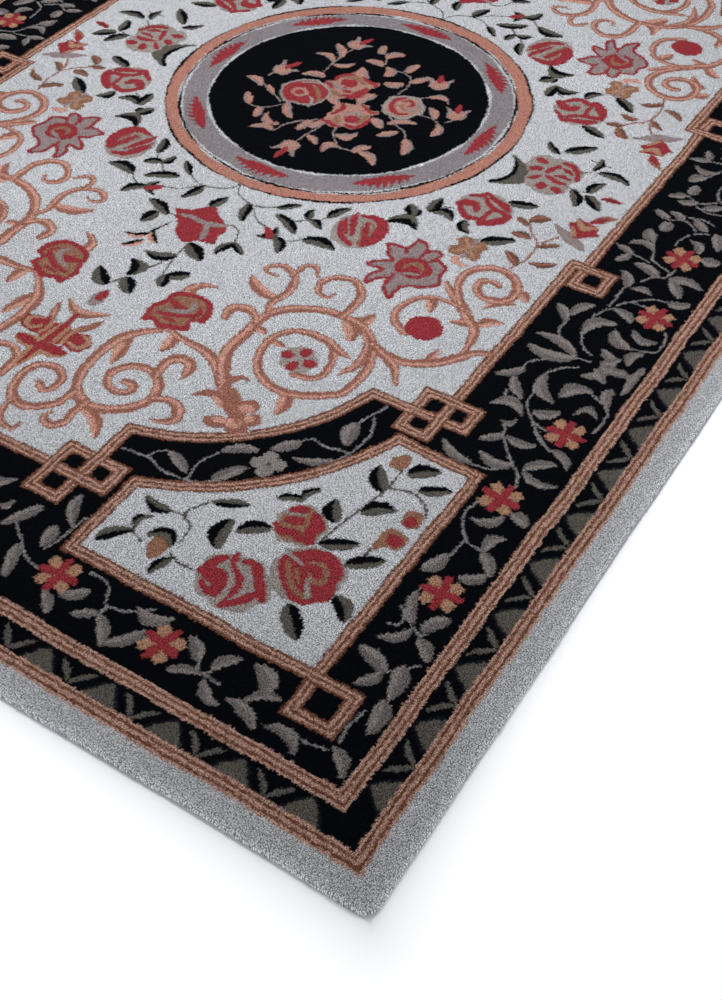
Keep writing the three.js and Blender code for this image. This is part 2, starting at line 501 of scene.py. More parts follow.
BORDER_LEAVES = (
    # base u, v, tip u, v, width, bend
    (223, 720, 253, 693, 15, 0.0),
    (222, 720, 175, 725, 17, -0.15),
    (160, 727, 117, 705, 15, 0.20),
    (185, 672, 240, 672, 19, 0.20),
    (237, 643, 297, 668, 16, 0.12),
    (170, 672, 132, 707, 18, 0.12),
    (170, 670, 115, 668, 15, -0.20),
    (145, 590, 113, 577, 20, 0.15),
    (148, 578, 187, 552, 17, 0.20),
    (142, 510, 127, 547, 20, 0.25),
    (142, 508, 113, 477, 18, 0.10),
    (117, 477, 148, 452, 18, 0.10),
    (180, 480, 197, 437, 22, 0.10),
    (183, 405, 157, 357, 15, -0.10),
    (122, 388, 145, 350, 20, -0.10),
    (155, 347, 187, 315, 16, 0.12),
    (142, 342, 112, 315, 18, 0.10),
    (148, 275, 200, 292, 22, -0.05),
    (150, 273, 175, 240, 17, 0.10),
    (135, 297, 124, 243, 24, 0.05),
    (128, 240, 120, 187, 24, 0.05),
    (145, 150, 112, 117, 18, 0.15),
    (177, 115, 232, 128, 18, -0.25),
    (237, 117, 293, 137, 18, -0.15),
    (270, 147, 233, 170, 16, 0.20),
    (253, 167, 290, 200, 24, -0.15),
    (295, 122, 333, 147, 16, 0.15),
    (380, 130, 337, 150, 14, 0.10),
    (333, 163, 310, 197, 18, 0.10),
    (355, 163, 388, 190, 20, -0.10),
    (420, 199, 473, 191, 20, 0.25),
    (504, 154, 539, 136, 14, 0.0),
    (504, 154, 470, 114, 18, 0.10),
    (439, 164, 473, 120, 18, 0.10),
    (539, 176, 573, 151, 18, 0.10),
    (592, 145, 564, 117, 17, 0.10),
    (661, 301, 632, 248, 17, -0.10),
    (651, 239, 645, 201, 20, 0.0),
    (689, 257, 717, 201, 18, 0.0),
    (673, 189, 651, 133, 18, 0.0),
    (265, 996, 298, 1029, 17, -0.10),
    (265, 1014, 242, 1057, 18, 0.15),
    (217, 929, 292, 946, 20, -0.15),
    (158, 930, 191, 966, 18, -0.12),
    (176, 932, 153, 958, 15, 0.10),
    (176, 928, 128, 930, 17, 0.0),
    (233, 985, 191, 1032, 24, 0.25),
    (127, 928, 117, 962, 13, -0.10),
    (142, 950, 131, 991, 18, 0.20),
    (154, 988, 192, 1018, 24, 0.20),
    (166, 1032, 122, 1027, 18, -0.30),
    (213, 1064, 174, 1045, 18, 0.15),
    (222, 1126, 247, 1161, 20, -0.10),
    (215, 1125, 180, 1126, 15, 0.20),
    (149, 1122, 115, 1140, 20, -0.10),
    (190, 1172, 238, 1189, 22, -0.10),
    (172, 1181, 115, 1181, 20, 0.15),
    (169, 1178, 137, 1143, 20, 0.05),
    (235, 1258, 255, 1290, 22, 0.10),
    (224, 1236, 269, 1233, 16, -0.30),
    (249, 1208, 284, 1221, 15, 0.0),
    (252, 1206, 266, 1178, 15, 0.0),
    (158, 1267, 184, 1296, 18, -0.22),
    (147, 1256, 116, 1261, 26, -0.05),
    (216, 1340, 248, 1354, 16, -0.10),
    (241, 1331, 270, 1347, 16, 0.0),
    (235, 1325, 236, 1293, 22, 0.0),
    (172, 1331, 204, 1354, 18, 0.0),
    (155, 1336, 133, 1292, 22, 0.05),
)

ROSETTE_RADIUS = 30.5
BORDER_ROSETTES = (
    # u, v, turn
    (154, 419, -6),
    (170, 606, 5),
    (152, 770, -4),
    (149, 1077, 6),
    (174, 1240, 10),
    (409, 159, 14),
    (594, 176, -5),
    (756, 151, 0),
)


# The spray inside the arc of the corner: stems, leaves and the four ovals of its flower
ARC_STEMS = (
    ((398, 678), (407, 653), (417, 622)),
    ((400, 647), (388, 613), (392, 573), (402, 545)),
    ((395, 567), (427, 560), (453, 563), (464, 550)),
    ((550, 470), (562, 440), (557, 403)),
    ((527, 418), (541, 406), (557, 401)),
    ((557, 400), (597, 398), (633, 407), (673, 402)),
    ((633, 409), (623, 427), (607, 435)),
)
ARC_LEAVES = (
    (418, 624, 407, 577, 26, -0.05),
    (403, 544, 457, 518, 14, 0.10),
    (463, 551, 492, 513, 20, 0.0),
    (505, 502, 551, 473, 18, -0.10),
    (527, 420, 500, 467, 20, 0.05),
    (611, 433, 565, 413, 18, 0.05),
)
ARC_FLOWER = ((484, 500), (465, 494), (476, 474), (492, 484))
# Where the vine turns back, on the long side; that point stands in the middle of the short side
VINE_MIDDLE = 928


def paint_border(chart):
    """The vine of the main border, on black, and the same vine turned onto the short side."""
    turned = HALF_WIDTH - VINE_MIDDLE
    for points in BORDER_STEMS + VINE_STEMS:
        stem(chart, points, BORDER_STEM, STEM, ALL_FOUR)
    for row in BORDER_LEAVES + VINE_LEAVES:
        leaf(chart, *row, TAUPE, LEAF, ALL_FOUR)
    for points in VINE_STEMS:
        stem(chart, [(v + turned, u) for u, v in points], BORDER_STEM, STEM, ALL_FOUR)
    for u, v, u2, v2, width, bend in VINE_LEAVES:
        leaf(chart, v + turned, u, v2 + turned, u2, width, -bend, LEAF, TAUPE, ALL_FOUR)
    leaf(chart, 119, 956, 117, 896, 11, 0, TAUPE, LEAF, ALL_FOUR)
    leaf(chart, HALF_WIDTH + 29, 119, HALF_WIDTH - 29, 118, 11, 0, TAUPE, LEAF, BOTH_ENDS)
    for u, v, turn in BORDER_ROSETTES:
        rosette(chart, u, v, ROSETTE_RADIUS, turn, ALL_FOUR)
    for points in ARC_STEMS:
        stem(chart, points, BORDER_STEM, STEM, ALL_FOUR)
    for row in ARC_LEAVES:
        leaf(chart, *row, TAUPE, LEAF, ALL_FOUR)
    for u, v in ARC_FLOWER:
        oval(chart, u, v, 13, 11, 45, LEAF, ALL_FOUR)


# The corner panel: roses, buds and two-toned leaves on ivory
PANEL_STEMS = (
    ((311, 582), (310, 550), (312, 527), (323, 477), (337, 403)),
    ((312, 541), (283, 550), (257, 543), (238, 522)),
    ((271, 440), (273, 418)),
    ((503, 388), (520, 350), (500, 336), (492, 305)),
    ((515, 348), (540, 344)),
    ((561, 287), (539, 279)),
    ((492, 283), (470, 275), (448, 278)),
)
PANEL_LEAVES = (
    # base u, v, tip u, v, width, bend, black on the left
    (301, 577, 263, 607, 22, 0.10, True),
    (273, 557, 233, 582, 18, 0.0, True),
    (311, 531, 343, 572, 24, 0.10, True),
    (317, 483, 277, 511, 22, 0.15, True),
    (337, 448, 359, 483, 26, 0.10, True),
    (397, 459, 432, 443, 13, -0.10, False),
    (401, 458, 387, 490, 13, 0.15, True),
    (335, 403, 287, 432, 20, 0.0, True),
    (288, 391, 242, 427, 20, 0.0, True),
    (402, 393, 441, 361, 22, -0.12, False),
    (448, 322, 455, 378, 27, 0.15, True),
    (500, 388, 453, 412, 15, 0.0, False),
    (537, 344, 585, 347, 17, 0.15, True),
    (595, 248, 560, 290, 18, 0.10, False),
    (562, 290, 553, 323, 13, 0.30, True),
    (496, 241, 483, 280, 15, 0.10, True),
    (268, 343, 233, 310, 23, 0.10, False),
    (311, 299, 268, 255, 25, 0.0, True),
)
# Three roses: lobed grounds and the strokes of their petals
PANEL_ROSES = (
    (ASH, 373, 418, 36, 37, 20, 0.05),
    (OCHRE, 372, 418, 31, 32, 20, 0.05),
    (RED, (12, 17, 12), ((398, 438), (390, 443), (383, 445))),
    (RED, (16, 21, 18, 15), ((363, 441), (354, 430), (355, 414), (349, 400))),
    (RED, (10, 16, 11), ((395, 419), (386, 422), (377, 427))),
    (RED, (11, 13, 15, 11), ((401, 402), (390, 396), (374, 403), (362, 396))),
    (ASH, (3, 5, 3), ((400, 429), (389, 433), (377, 438))),
    (ASH, 393, 289, 55, 46, 0, 0.045),
    (RED, (11, 24, 29, 20), ((442, 284), (430, 284), (416, 284), (407, 276))),
    (RED, (10, 15, 12), ((427, 318), (435, 304), (438, 288))),
    (RED, (7, 11, 17, 12), ((430, 268), (422, 262), (411, 260), (402, 262))),
    (RED, (9, 11, 11, 10, 11), ((415, 333), (411, 316), (397, 303), (386, 291), (382, 266), (384, 248))),
    (RED, (10, 16, 16, 16, 12), ((399, 325), (385, 329), (372, 316), (359, 302), (345, 286))),
    (RED, (11, 16, 15, 10), ((354, 290), (362, 277), (370, 266), (379, 253))),
    (ASH, (4, 6, 4), ((410, 318), (394, 308), (374, 301))),
    (ASH, (4, 6, 5), ((376, 292), (375, 278), (380, 263))),
    (ASH, 318, 351, 51, 47, 30, 0.03),
    (RED, ((361, 366), (349, 379), (334, 392), (314, 397), (296, 392), (280, 379), (276, 358), (270, 330),
           (280, 320), (292, 308), (312, 305), (330, 315), (348, 329), (363, 350))),
    (OCHRE, (5, 7, 7, 5), ((354, 358), (340, 338), (322, 323), (300, 317))),
    (OCHRE, (5, 9, 9, 9, 8, 5), ((329, 368), (313, 373), (299, 366), (294, 354), (302, 344), (318, 352))),
    (OCHRE, (4, 6, 5), ((338, 352), (328, 342), (320, 334))),
    (ASH, (4, 7, 9), ((313, 346), (308, 333), (297, 322))),
    (ASH, (7, 6, 3), ((362, 372), (346, 364), (330, 360))),
)
PANEL_BUDS = (
    (OCHRE, ((264, 520), (250, 524), (238, 518), (237, 499), (250, 490), (263, 498))),
    (RED, 251, 502, 9, 11, 0, 0.08),
    (OCHRE, ((270, 477), (240, 476), (236, 462), (240, 448), (258, 446), (272, 432))),
    (RED, 252, 462, 12, 10, 0, 0.10),
    (OCHRE, ((527, 300), (508, 300), (500, 284), (506, 264), (516, 260), (526, 274))),
    (OLIVE, (7, 14, 17, 14, 7), ((536, 293), (530, 303), (519, 307), (507, 303), (501, 293))),
    (BLACK, (4, 9, 10, 9, 4), ((539, 298), (531, 309), (519, 313), (506, 309), (499, 298))),
    (OCHRE, 322, 590, 13, 14, 0, 0.08),
    (OCHRE, 318, 602, 8, 8, 0, 0.0),
)
# How much wider the two-toned leaves are tufted than their rows say
TWO_TONE_SWELL = 1.15


def two_tone(chart, rows, copies):
    """Leaves with one black half, on the side that each row says."""
    for u, v, u2, v2, width, bend, black_left in rows:
        halves = (BLACK, OLIVE) if black_left else (OLIVE, BLACK)
        leaf(chart, u, v, u2, v2, TWO_TONE_SWELL * width, bend, *halves, copies)


def paint_panel(chart):
    """The bouquet of each corner panel."""
    for points in PANEL_STEMS:
        stem(chart, points, PANEL_STEM, OLIVE, ALL_FOUR)
    two_tone(chart, PANEL_LEAVES, ALL_FOUR)
    draw(chart, PANEL_ROSES + PANEL_BUDS, ALL_FOUR)


# The field: scrolls in two shades of rust
FIELD_SCROLLS = (
    # points, widths along the stroke, dark side (+1 is the left)
    (((777, 645), (740, 638), (703, 635), (673, 622), (643, 596), (620, 575), (585, 548)),
     (9, 18, 18, 19), 1),
    (((777, 645), (810, 615), (828, 583), (832, 533), (823, 487), (803, 456), (775, 444),
      (745, 450), (718, 470), (704, 500), (710, 532), (732, 552), (760, 553), (782, 535),
      (787, 510), (773, 493), (753, 488), (739, 499), (742, 514), (757, 514)),
     (9, 21, 18, 19, 18, 18, 16, 15, 14), -1),
    (((730, 553), (733, 585), (722, 601), (706, 601), (693, 588), (693, 563)), (14, 18, 20, 20, 18, 4), 1),
    (((704, 505), (680, 517), (658, 512), (645, 493), (655, 476), (675, 468)), (10, 17, 20, 19, 12, 3), -1),
    (((777, 447), (780, 420), (777, 400), (790, 383), (808, 388), (808, 402)), (14, 14, 16, 9), -1),
    (((808, 455), (813, 423), (835, 400), (863, 393), (890, 410), (900, 440), (893, 470),
      (867, 482), (843, 470), (840, 445), (852, 434), (864, 443)), (13, 18, 16, 15, 13), -1),
    (((872, 398), (874, 377), (858, 352), (833, 347), (829, 364)), (12, 12, 11, 5), 1),
    (((620, 577), (640, 600), (664, 634), (673, 667), (672, 703), (672, 735), (665, 762),
      (647, 787), (620, 806), (587, 817), (553, 817), (520, 810), (493, 790), (476, 763),
      (467, 733), (466, 700), (473, 665), (500, 642), (535, 625), (570, 623), (600, 637),
      (622, 662), (631, 697), (626, 730), (603, 751), (570, 758), (540, 747), (522, 722),
      (517, 690), (529, 669), (556, 661)),
     (21, 23, 20, 18, 16, 16, 16, 16, 15, 14, 14, 12), -1),
    (((606, 750), (580, 757), (552, 755), (522, 744), (494, 737)), (13, 17, 18, 15, 3), -1),
    (((520, 806), (497, 784), (486, 757), (485, 728), (499, 695)), (8, 15, 17, 14, 3), 1),
    (((673, 732), (688, 748), (708, 751), (726, 739), (721, 716)), (12, 15, 19, 20, 14), 1),
    (((671, 762), (680, 783), (673, 820), (680, 850), (697, 867), (722, 873), (742, 857),
      (728, 844), (712, 847)), (11, 15, 16, 14, 13, 11, 5), 1),
    (((692, 864), (689, 890), (673, 899), (655, 880)), (11, 12, 11, 6), -1),
    (((567, 817), (566, 853), (573, 883), (600, 903), (629, 893), (642, 869), (630, 847),
      (611, 846), (607, 858)), (15, 16, 16, 14, 13, 6), 1),
    (((490, 788), (460, 778), (430, 778), (397, 793), (369, 821), (349, 849), (330, 860)),
     (12, 16, 19, 19, 12), 1),
    (((482, 783), (437, 760), (413, 727)), (12, 18, 7), -1),
    (((472, 977), (452, 960), (424, 941), (397, 918), (377, 899), (366, 871), (363, 843)),
     (11, 20, 20, 18, 9), 1),
    (((427, 946), (449, 974), (458, 1002), (452, 1029), (430, 1049), (402, 1054), (378, 1043),
      (366, 1021), (366, 999), (380, 982), (405, 978), (423, 991), (427, 1007), (419, 1018),
      (405, 1021), (397, 1017)), (14, 16, 16, 16, 18, 15, 13), -1),
    (((808, 722), (809, 745), (799, 760), (778, 768)), (21, 20, 14, 4), -1),
    (((400, 930), (437, 937), (470, 934), (493, 917), (503, 883), (493, 853), (463, 835)),
     (7, 11, 12, 14, 15), 1),
)
SCROLL_LEAVES = (
    # base u, v, tip u, v, width, bend
    (764, 644, 757, 597, 21, 0.10),
    (826, 612, 802, 533, 23, 0.05),
    (777, 437, 717, 393, 22, 0.15),
    (676, 797, 750, 826, 23, 0.12),
    (563, 812, 524, 852, 26, -0.25),
    (560, 820, 523, 772, 30, 0.10),
    (630, 710, 601, 707, 13, 0.0),
    (670, 722, 643, 716, 17, 0.10),
    (543, 626, 529, 578, 25, 0.10),
    (400, 790, 397, 830, 15, 0.0),
    (366, 1020, 338, 1002, 22, 0.15),
    (352, 990, 392, 952, 16, -0.15),
    (380, 905, 344, 938, 22, 0.15),
    (378, 903, 419, 896, 16, -0.15),
    (478, 932, 457, 898, 21, 0.10),
)
ACANTHUS = (
    (RUST, (14, 14, 12, 6), ((624, 584), (628, 602), (618, 617), (606, 615))),
    (RUST, (20, 18, 14, 5), ((600, 564), (625, 566), (645, 560), (656, 547))),
    (PEACH, (12, 13, 7), ((584, 548), (606, 554), (628, 561))),
    (RUST, (22, 30, 26), ((612, 582), (594, 562), (574, 544))),
    (RUST, 571, 571, 16, 15, 0, 0.03),
    (RUST, 549, 551, 12, 14, 0, 0.03),
    (RUST, 593, 519, 21, 14, 20, 0.03),
    (RUST, 563, 527, 18, 17, 0, 0.03),
    (PEACH, 572, 566, 12, 10, 0, 0.05),
    (PEACH, 555, 549, 8, 8, 0, 0.05),
    (PEACH, 590, 525, 14, 7, 20, 0.05),
    (PEACH, 569, 530, 12, 11, 0, 0.05),
    (RUST, (4, 5, 3), ((578, 548), (568, 536), (560, 530))),
)
# The red ball, and the grey rosette with four red petals
SCROLL_HEARTS = (
    (RED, 444, 861, 31, 29, 0, 0.012),
    (ASH, 567, 695, 30, 30, 0, 0.04),
    (RED, 567, 714, 9, 11.5, 0, 0.07),
    (RED, 588, 695, 9, 11.5, 90, 0.07),
    (RED, 547, 695, 9, 11.5, 90, 0.07),
    (RED, 568, 676, 9, 11.5, 0, 0.07),
)
SPRIG_STEMS = (
    ((403, 1067), (393, 1100), (393, 1136), (402, 1156), (425, 1178), (437, 1202)),
    ((392, 1157), (384, 1172), (375, 1184)),
)
SPRIG_LEAVES = (
    (386, 1097, 343, 1118, 15, -0.12),
    (397, 1077, 434, 1105, 17, -0.10),
    (392, 1142, 361, 1164, 15, 0.10),
    (414, 1157, 449, 1154, 19, -0.10),
    (433, 1188, 461, 1198, 15, 0.0),
    (436, 1200, 406, 1223, 21, 0.10),
)

# Stems and two-toned leaves round the medallion
GARLAND_STEMS = (
    ((914, 1020), (900, 997), (867, 983), (843, 986), (820, 1000)),
    ((853, 975), (830, 953), (803, 943)),
    ((777, 923), (750, 933), (733, 947)),
    ((753, 1003), (765, 990), (774, 981)),
    ((733, 1020), (741, 1005)),
    ((617, 1100), (617, 1110)),
    ((586, 1150), (567, 1161)),
    ((643, 1068), (646, 1052)),
    ((428, 1322), (390, 1325)),
)
GARLAND_LEAVES = (
    # base u, v, tip u, v, width, bend, black on the left
    (820, 998, 788, 1029, 14, 0.0, True),
    (865, 982, 850, 934, 19, -0.05, True),
    (787, 955, 805, 915, 17, 0.35, False),
    (810, 983, 750, 953, 18, 0.08, True),
    (776, 931, 748, 893, 20, 0.15, True),
    (733, 947, 672, 953, 24, 0.15, True),
    (755, 999, 765, 1030, 15, 0.10, True),
    (755, 1003, 723, 988, 15, 0.10, True),
    (731, 1021, 710, 1067, 18, 0.10, True),
    (643, 1070, 585, 1074, 26, 0.35, False),
    (616, 1106, 634, 1132, 21, 0.0, True),
    (610, 1106, 612, 1126, 14, 0.0, False),
    (596, 1128, 597, 1175, 21, 0.0, False),
    (594, 1131, 549, 1128, 20, 0.28, True),
    (494, 1226, 442, 1244, 20, 0.0, True),
    (531, 1143, 507, 1111, 19, -0.20, False),
    (481, 1103, 432, 1139, 22, 0.0, True),
)


# The share of the width of a leaf that its inner leaf takes, on a sprig and in the bouquet
SPRIG_VEIN, BOUQUET_VEIN = 0.62, 0.42


def veined(chart, rows, halves, share, inner, copies):
    """Leaves with a narrower leaf of other yarns laid inside each."""
    for u, v, u2, v2, width, bend in rows:
        leaf(chart, u, v, u2, v2, width, bend, *halves, copies)
        leaf(chart, u, v, u2, v2, width * share, bend, *inner, copies)


def paint_field_scrolls(chart):
    """Acanthus scrolls, the ball and the small rosette that they curl round, and the sprigs."""
    for row in SCROLL_LEAVES:
        leaf(chart, *row, RUST, PEACH, ALL_FOUR)
    for points, widths, shade in FIELD_SCROLLS:
        scroll(chart, points, widths, ALL_FOUR, shade)
    draw(chart, ACANTHUS, ALL_FOUR)
    draw(chart, SCROLL_HEARTS, ALL_FOUR)
    for points in SPRIG_STEMS:
        stem(chart, points, SPRIG_STEM, RUST, ALL_FOUR)
    veined(chart, SPRIG_LEAVES, (BROWN, OLIVE), SPRIG_VEIN, (RUST, BROWN), ALL_FOUR)


# Roses, a striped bud, a gold flower and a tulip of the field
FIELD_FLOWERS = (
    (RED, ((825, 724), (794, 736), (770, 736), (747, 719), (740, 686), (757, 679), (751, 659), (775, 646),
           (797, 638), (813, 646), (831, 641), (839, 676), (831, 697))),
    (OCHRE, ((817, 716), (792, 726), (770, 726), (755, 708), (752, 692), (765, 682), (762, 664), (780, 656),
             (797, 649), (813, 657), (826, 655), (829, 676), (822, 694))),
    (RED, (6, 12, 16, 12), ((824, 706), (812, 702), (800, 697), (789, 696))),
    (GREY, (5, 10, 12, 9, 5), ((786, 717), (777, 706), (784, 693), (799, 684), (812, 681))),
    (RED, (5, 9, 10, 8), ((768, 712), (760, 700), (768, 688), (786, 680))),
    (RED, (8, 9, 10, 6), ((770, 686), (788, 676), (806, 670), (820, 668))),
    (RED, (4, 7, 5), ((804, 660), (792, 662), (780, 664))),
    (ASH, 668, 1019, 45, 49, 0, 0.03),
    (RED, (6, 12, 13, 9, 5), ((694, 1060), (693, 1047), (686, 1034), (676, 1014), (670, 1001))),
    (RED, (6, 12, 12, 10), ((707, 1028), (696, 1008), (683, 991), (660, 981))),
    (RED, (8, 18, 23, 23, 18), ((683, 1060), (658, 1064), (640, 1054), (632, 1030), (634, 1008), (644, 994))),
    (RED, (8, 13, 13, 8), ((664, 1046), (659, 1034), (652, 1016), (647, 996))),
    (RED, (4, 8, 8, 4), ((705, 1040), (700, 1030), (690, 1016), (680, 1000))),
    (OCHRE, (3, 4, 4, 3), ((673, 1046), (664, 1024), (655, 1006), (646, 988))),
    (OCHRE, (3, 4, 4, 3), ((668, 1050), (652, 1044), (645, 1030), (650, 1018))),
    (ASH, 519, 1189, 49, 45, 10, 0.045),
    (RED, (8, 10, 12, 8), ((559, 1210), (546, 1219), (534, 1230), (522, 1222))),
    (RED, (8, 12, 16, 16, 10), ((526, 1226), (506, 1219), (492, 1213), (480, 1204))),
    (RED, (9, 10, 12, 12, 10), ((533, 1218), (521, 1206), (506, 1197), (490, 1195), (474, 1188))),
    (RED, (12, 20, 20, 16), ((473, 1192), (479, 1175), (492, 1158), (505, 1148))),
    (RED, (6, 10, 9), ((504, 1196), (508, 1180), (508, 1160))),
    (RED, (13, 20, 18, 12), ((566, 1178), (553, 1189), (538, 1190), (530, 1178))),
    (RED, (10, 12, 13, 12), ((562, 1176), (550, 1161), (534, 1151), (517, 1156))),
    (OCHRE, 501, 1091, 14, 12, 30, 0.06),
    (OCHRE, 473, 1090, 13, 14, 0, 0.06),
    (OCHRE, 470, 1062, 13, 12, 0, 0.06),
    (OCHRE, 502, 1062, 14, 13, 0, 0.06),
    (OCHRE, 487, 1077, 22, 20, 0, 0.08),
    (GOLD, (5, 9, 9, 5), ((504, 1096), (490, 1080), (484, 1072), (468, 1058))),
    (GOLD, (5, 9, 9, 5), ((470, 1094), (482, 1081), (490, 1072), (506, 1058))),
    (GREY, (9, 7, 4), ((487, 1103), (486, 1092), (486, 1080))),
    (GREY, (4, 6, 8), ((486, 1072), (485, 1062), (484, 1051))),
    (PEACH, (9, 12, 4), ((495, 1041), (489, 1033), (491, 1048))),
    (PEACH, (6, 13, 4), ((487, 1036), (476, 1031), (466, 1034))),
    (GREY, (5, 15, 25, 20, 5), ((396, 1215), (376, 1202), (354, 1189), (338, 1182), (322, 1172))),
    (RED, ((378, 1232), (368, 1238), (370, 1251), (356, 1248), (344, 1246), (328, 1243), (325, 1228),
           (318, 1221), (330, 1210), (338, 1202), (352, 1194), (360, 1204), (368, 1217))),
    (GOLD, (5, 12, 14, 12, 5), ((368, 1247), (358, 1236), (349, 1228), (341, 1235), (331, 1240))),
    (GOLD, (3, 8, 9, 4), ((368, 1226), (361, 1214), (355, 1204), (350, 1198))),
    (RUST, (6, 20, 17, 4), ((346, 1250), (336, 1262), (327, 1273), (313, 1284))),
    (RED, (8, 14, 6), ((344, 1251), (334, 1264), (326, 1272))),
)
# The star flower's outline
STAR = (
    (569, 1052), (557, 1052), (547, 1044), (542, 1036), (541, 1026), (534, 1037), (525, 1042),
    (515, 1036), (515, 1021), (501, 1015), (490, 1006), (491, 988), (482, 968), (486, 959), (497, 949),
    (502, 944), (519, 938), (531, 924), (531, 897), (541, 902), (552, 914), (555, 930), (557, 939),
    (564, 936), (572, 928), (581, 910), (589, 923), (586, 937), (577, 950), (580, 955), (605, 953),
    (597, 968), (580, 980), (576, 984), (590, 992), (597, 1005), (607, 1017), (590, 1022), (574, 1022),
    (569, 1032),
)
STAR_OUTLINE = 6.5
# What lies on the star: red strokes in its points, its disc and its heart
STAR_STROKES = (
    (RED, (7, 6), ((572, 1024), (568, 1012))),
    (RED, (7, 6), ((541, 1026), (542, 1012))),
    (RED, (7, 6), ((516, 1019), (522, 1010))),
    (RED, (7, 6), ((555, 935), (556, 950))),
    (RED, 537, 982, 31, 27, 0, 0.04),
    (OCHRE, (4, 8, 11, 8, 4), ((551, 973), (548, 988), (537, 994), (525, 988), (520, 976))),
    (RED, (5, 8), ((538, 985), (535, 974))),
    (GREY, (3, 9, 4), ((549, 960), (535, 966), (518, 973))),
)


def paint_star(chart, copies):
    """A star flower: pointed grey petals outlined in red round a red disc with an ochre heart."""
    fill(chart, STAR, GREY, copies)
    stem(chart, STAR + STAR[:1], STAR_OUTLINE, RED, copies)
    draw(chart, STAR_STROKES, copies)


def paint_field_flowers(chart):
    """Roses, star flowers, buds and tulips of the field."""
    for points in GARLAND_STEMS:
        stem(chart, points, FIELD_STEM, OLIVE, ALL_FOUR)
    two_tone(chart, GARLAND_LEAVES, ALL_FOUR)
    leaf(chart, 920, 938, 908, 978, 21, 0.05, BLACK, OLIVE, BOTH_ENDS)
    leaf(chart, 803, 944, 776, 920, 15, 0, RED, RED, ALL_FOUR)
    draw(chart, FIELD_FLOWERS, ALL_FOUR)
    paint_star(chart, ALL_FOUR)


# The flower on the rug's long middle line, and the rose with its hanging spray, at each end
END_FLOWER = (
    (RUST, (5, 14, 15, 6), ((965, 604), (961, 590), (954, 574), (948, 560))),
    (RUST, (5, 14, 15, 8), ((876, 604), (880, 590), (890, 574), (900, 562))),
    (PEACH, (3, 7, 4), ((965, 596), (958, 584), (952, 572))),
    (RUST, (8, 12, 10), ((921, 600), (921, 580), (921, 560))),
    (RUST, (4, 16, 22, 18, 4), ((878, 620), (897, 609), (918, 600), (938, 606), (958, 618))),
    (PEACH, (3, 8, 10, 8, 3), ((880, 622), (899, 612), (918, 605), (937, 610), (955, 620))),
    (GOLD, 922, 507, 49, 17, 0, 0.04),
    (GOLD, (18, 26, 22, 8), ((922, 520), (922, 500), (922, 475), (922, 452))),
    (RED, 949, 508, 23, 9, -8, 0.04),
    (RED, 897, 511, 25, 10, 6, 0.04),
    (RED, (12, 12, 9, 5), ((922, 530), (922, 500), (922, 480), (922, 460))),
    (RED, 962, 545, 27, 21, 0, 0.06),
    (RED, 879, 545, 27, 21, 0, 0.06),
    (RED, 921, 545, 30, 24, 0, 0.04),
    (GOLD, (4, 8, 9, 9, 7), ((959, 562), (977, 555), (976, 538), (962, 534), (953, 545))),
    (GOLD, (4, 8, 9, 9, 7), ((883, 562), (863, 556), (863, 540), (876, 534), (890, 538))),
    (GOLD, (6, 8, 6), ((944, 568), (941, 548), (944, 528))),
    (GOLD, (6, 9, 6), ((929, 566), (930, 545), (929, 520))),
    (GOLD, (6, 9, 6), ((911, 566), (911, 545), (908, 522))),
    (GOLD, (6, 8, 6), ((898, 570), (900, 548), (897, 530))),
    (RED, (7, 6, 7), ((921, 594), (921, 560), (921, 520))),
)
END_ROSE = (
    (RED, ((966, 905), (940, 915), (925, 934), (909, 943), (893, 928), (870, 915), (854, 895), (857, 878),
           (853, 857), (880, 850), (897, 836), (925, 848), (938, 870), (955, 889))),
    (GREY, (5, 11, 10, 12, 7), ((950, 894), (925, 899), (899, 897), (880, 903), (862, 911))),
    (GREY, (11, 11, 12, 7), ((890, 897), (888, 885), (882, 872), (879, 859))),
)
END_STEMS = (
    ((867, 912), (848, 915), (834, 905), (826, 881)),
    ((953, 888), (968, 888), (984, 892)),
    ((889, 840), (885, 800), (882, 786), (872, 750), (866, 745)),
    ((885, 795), (895, 770), (905, 745), (917, 718)),
    ((917, 712), (925, 695), (933, 682)),
)
END_LEAVES = (
    # base u, v, tip u, v, width, bend, black on the left
    (968, 884, 1024, 903, 20, -0.06, False),
    (987, 882, 995, 843, 22, 0.0, False),
    (826, 881, 792, 861, 14, -0.05, False),
    (824, 880, 836, 838, 16, -0.10, True),
    (888, 838, 842, 809, 26, 0.0, True),
    (884, 801, 934, 782, 20, 0.15, True),
    (866, 748, 834, 773, 20, -0.05, True),
    (868, 750, 855, 718, 20, 0.0, True),
    (916, 717, 940, 757, 26, -0.30, True),
    (919, 712, 886, 677, 24, 0.0, True),
    (933, 677, 972, 711, 26, 0.10, False),
)


def paint_end_group(chart):
    """The flower and the rose on the rug's long middle line, at each end of the field."""
    for points in END_STEMS:
        stem(chart, points, FIELD_STEM, OLIVE, BOTH_ENDS)
    two_tone(chart, END_LEAVES, BOTH_ENDS)
    draw(chart, END_FLOWER + END_ROSE, BOTH_ENDS)
    leaf(chart, 921, 622, 920, 668, 23, 0, GREY, GREY, BOTH_ENDS)
    leaf(chart, 919, 638, 919, 668, 16, 0, RED, RED, BOTH_ENDS)
    brush(chart, ((949, 868), (957, 845), (960, 822)), (3, 4, 8), BLACK, BOTH_ENDS)
    for row in ((959, 826, 996, 805, 16, 0.15), (955, 805, 981, 775, 15, 0.10)):
        leaf(chart, *row, PEACH, BLACK, BOTH_ENDS)
    leaf(chart, 959, 830, 932, 808, 16, -0.10, BLACK, PEACH, BOTH_ENDS)


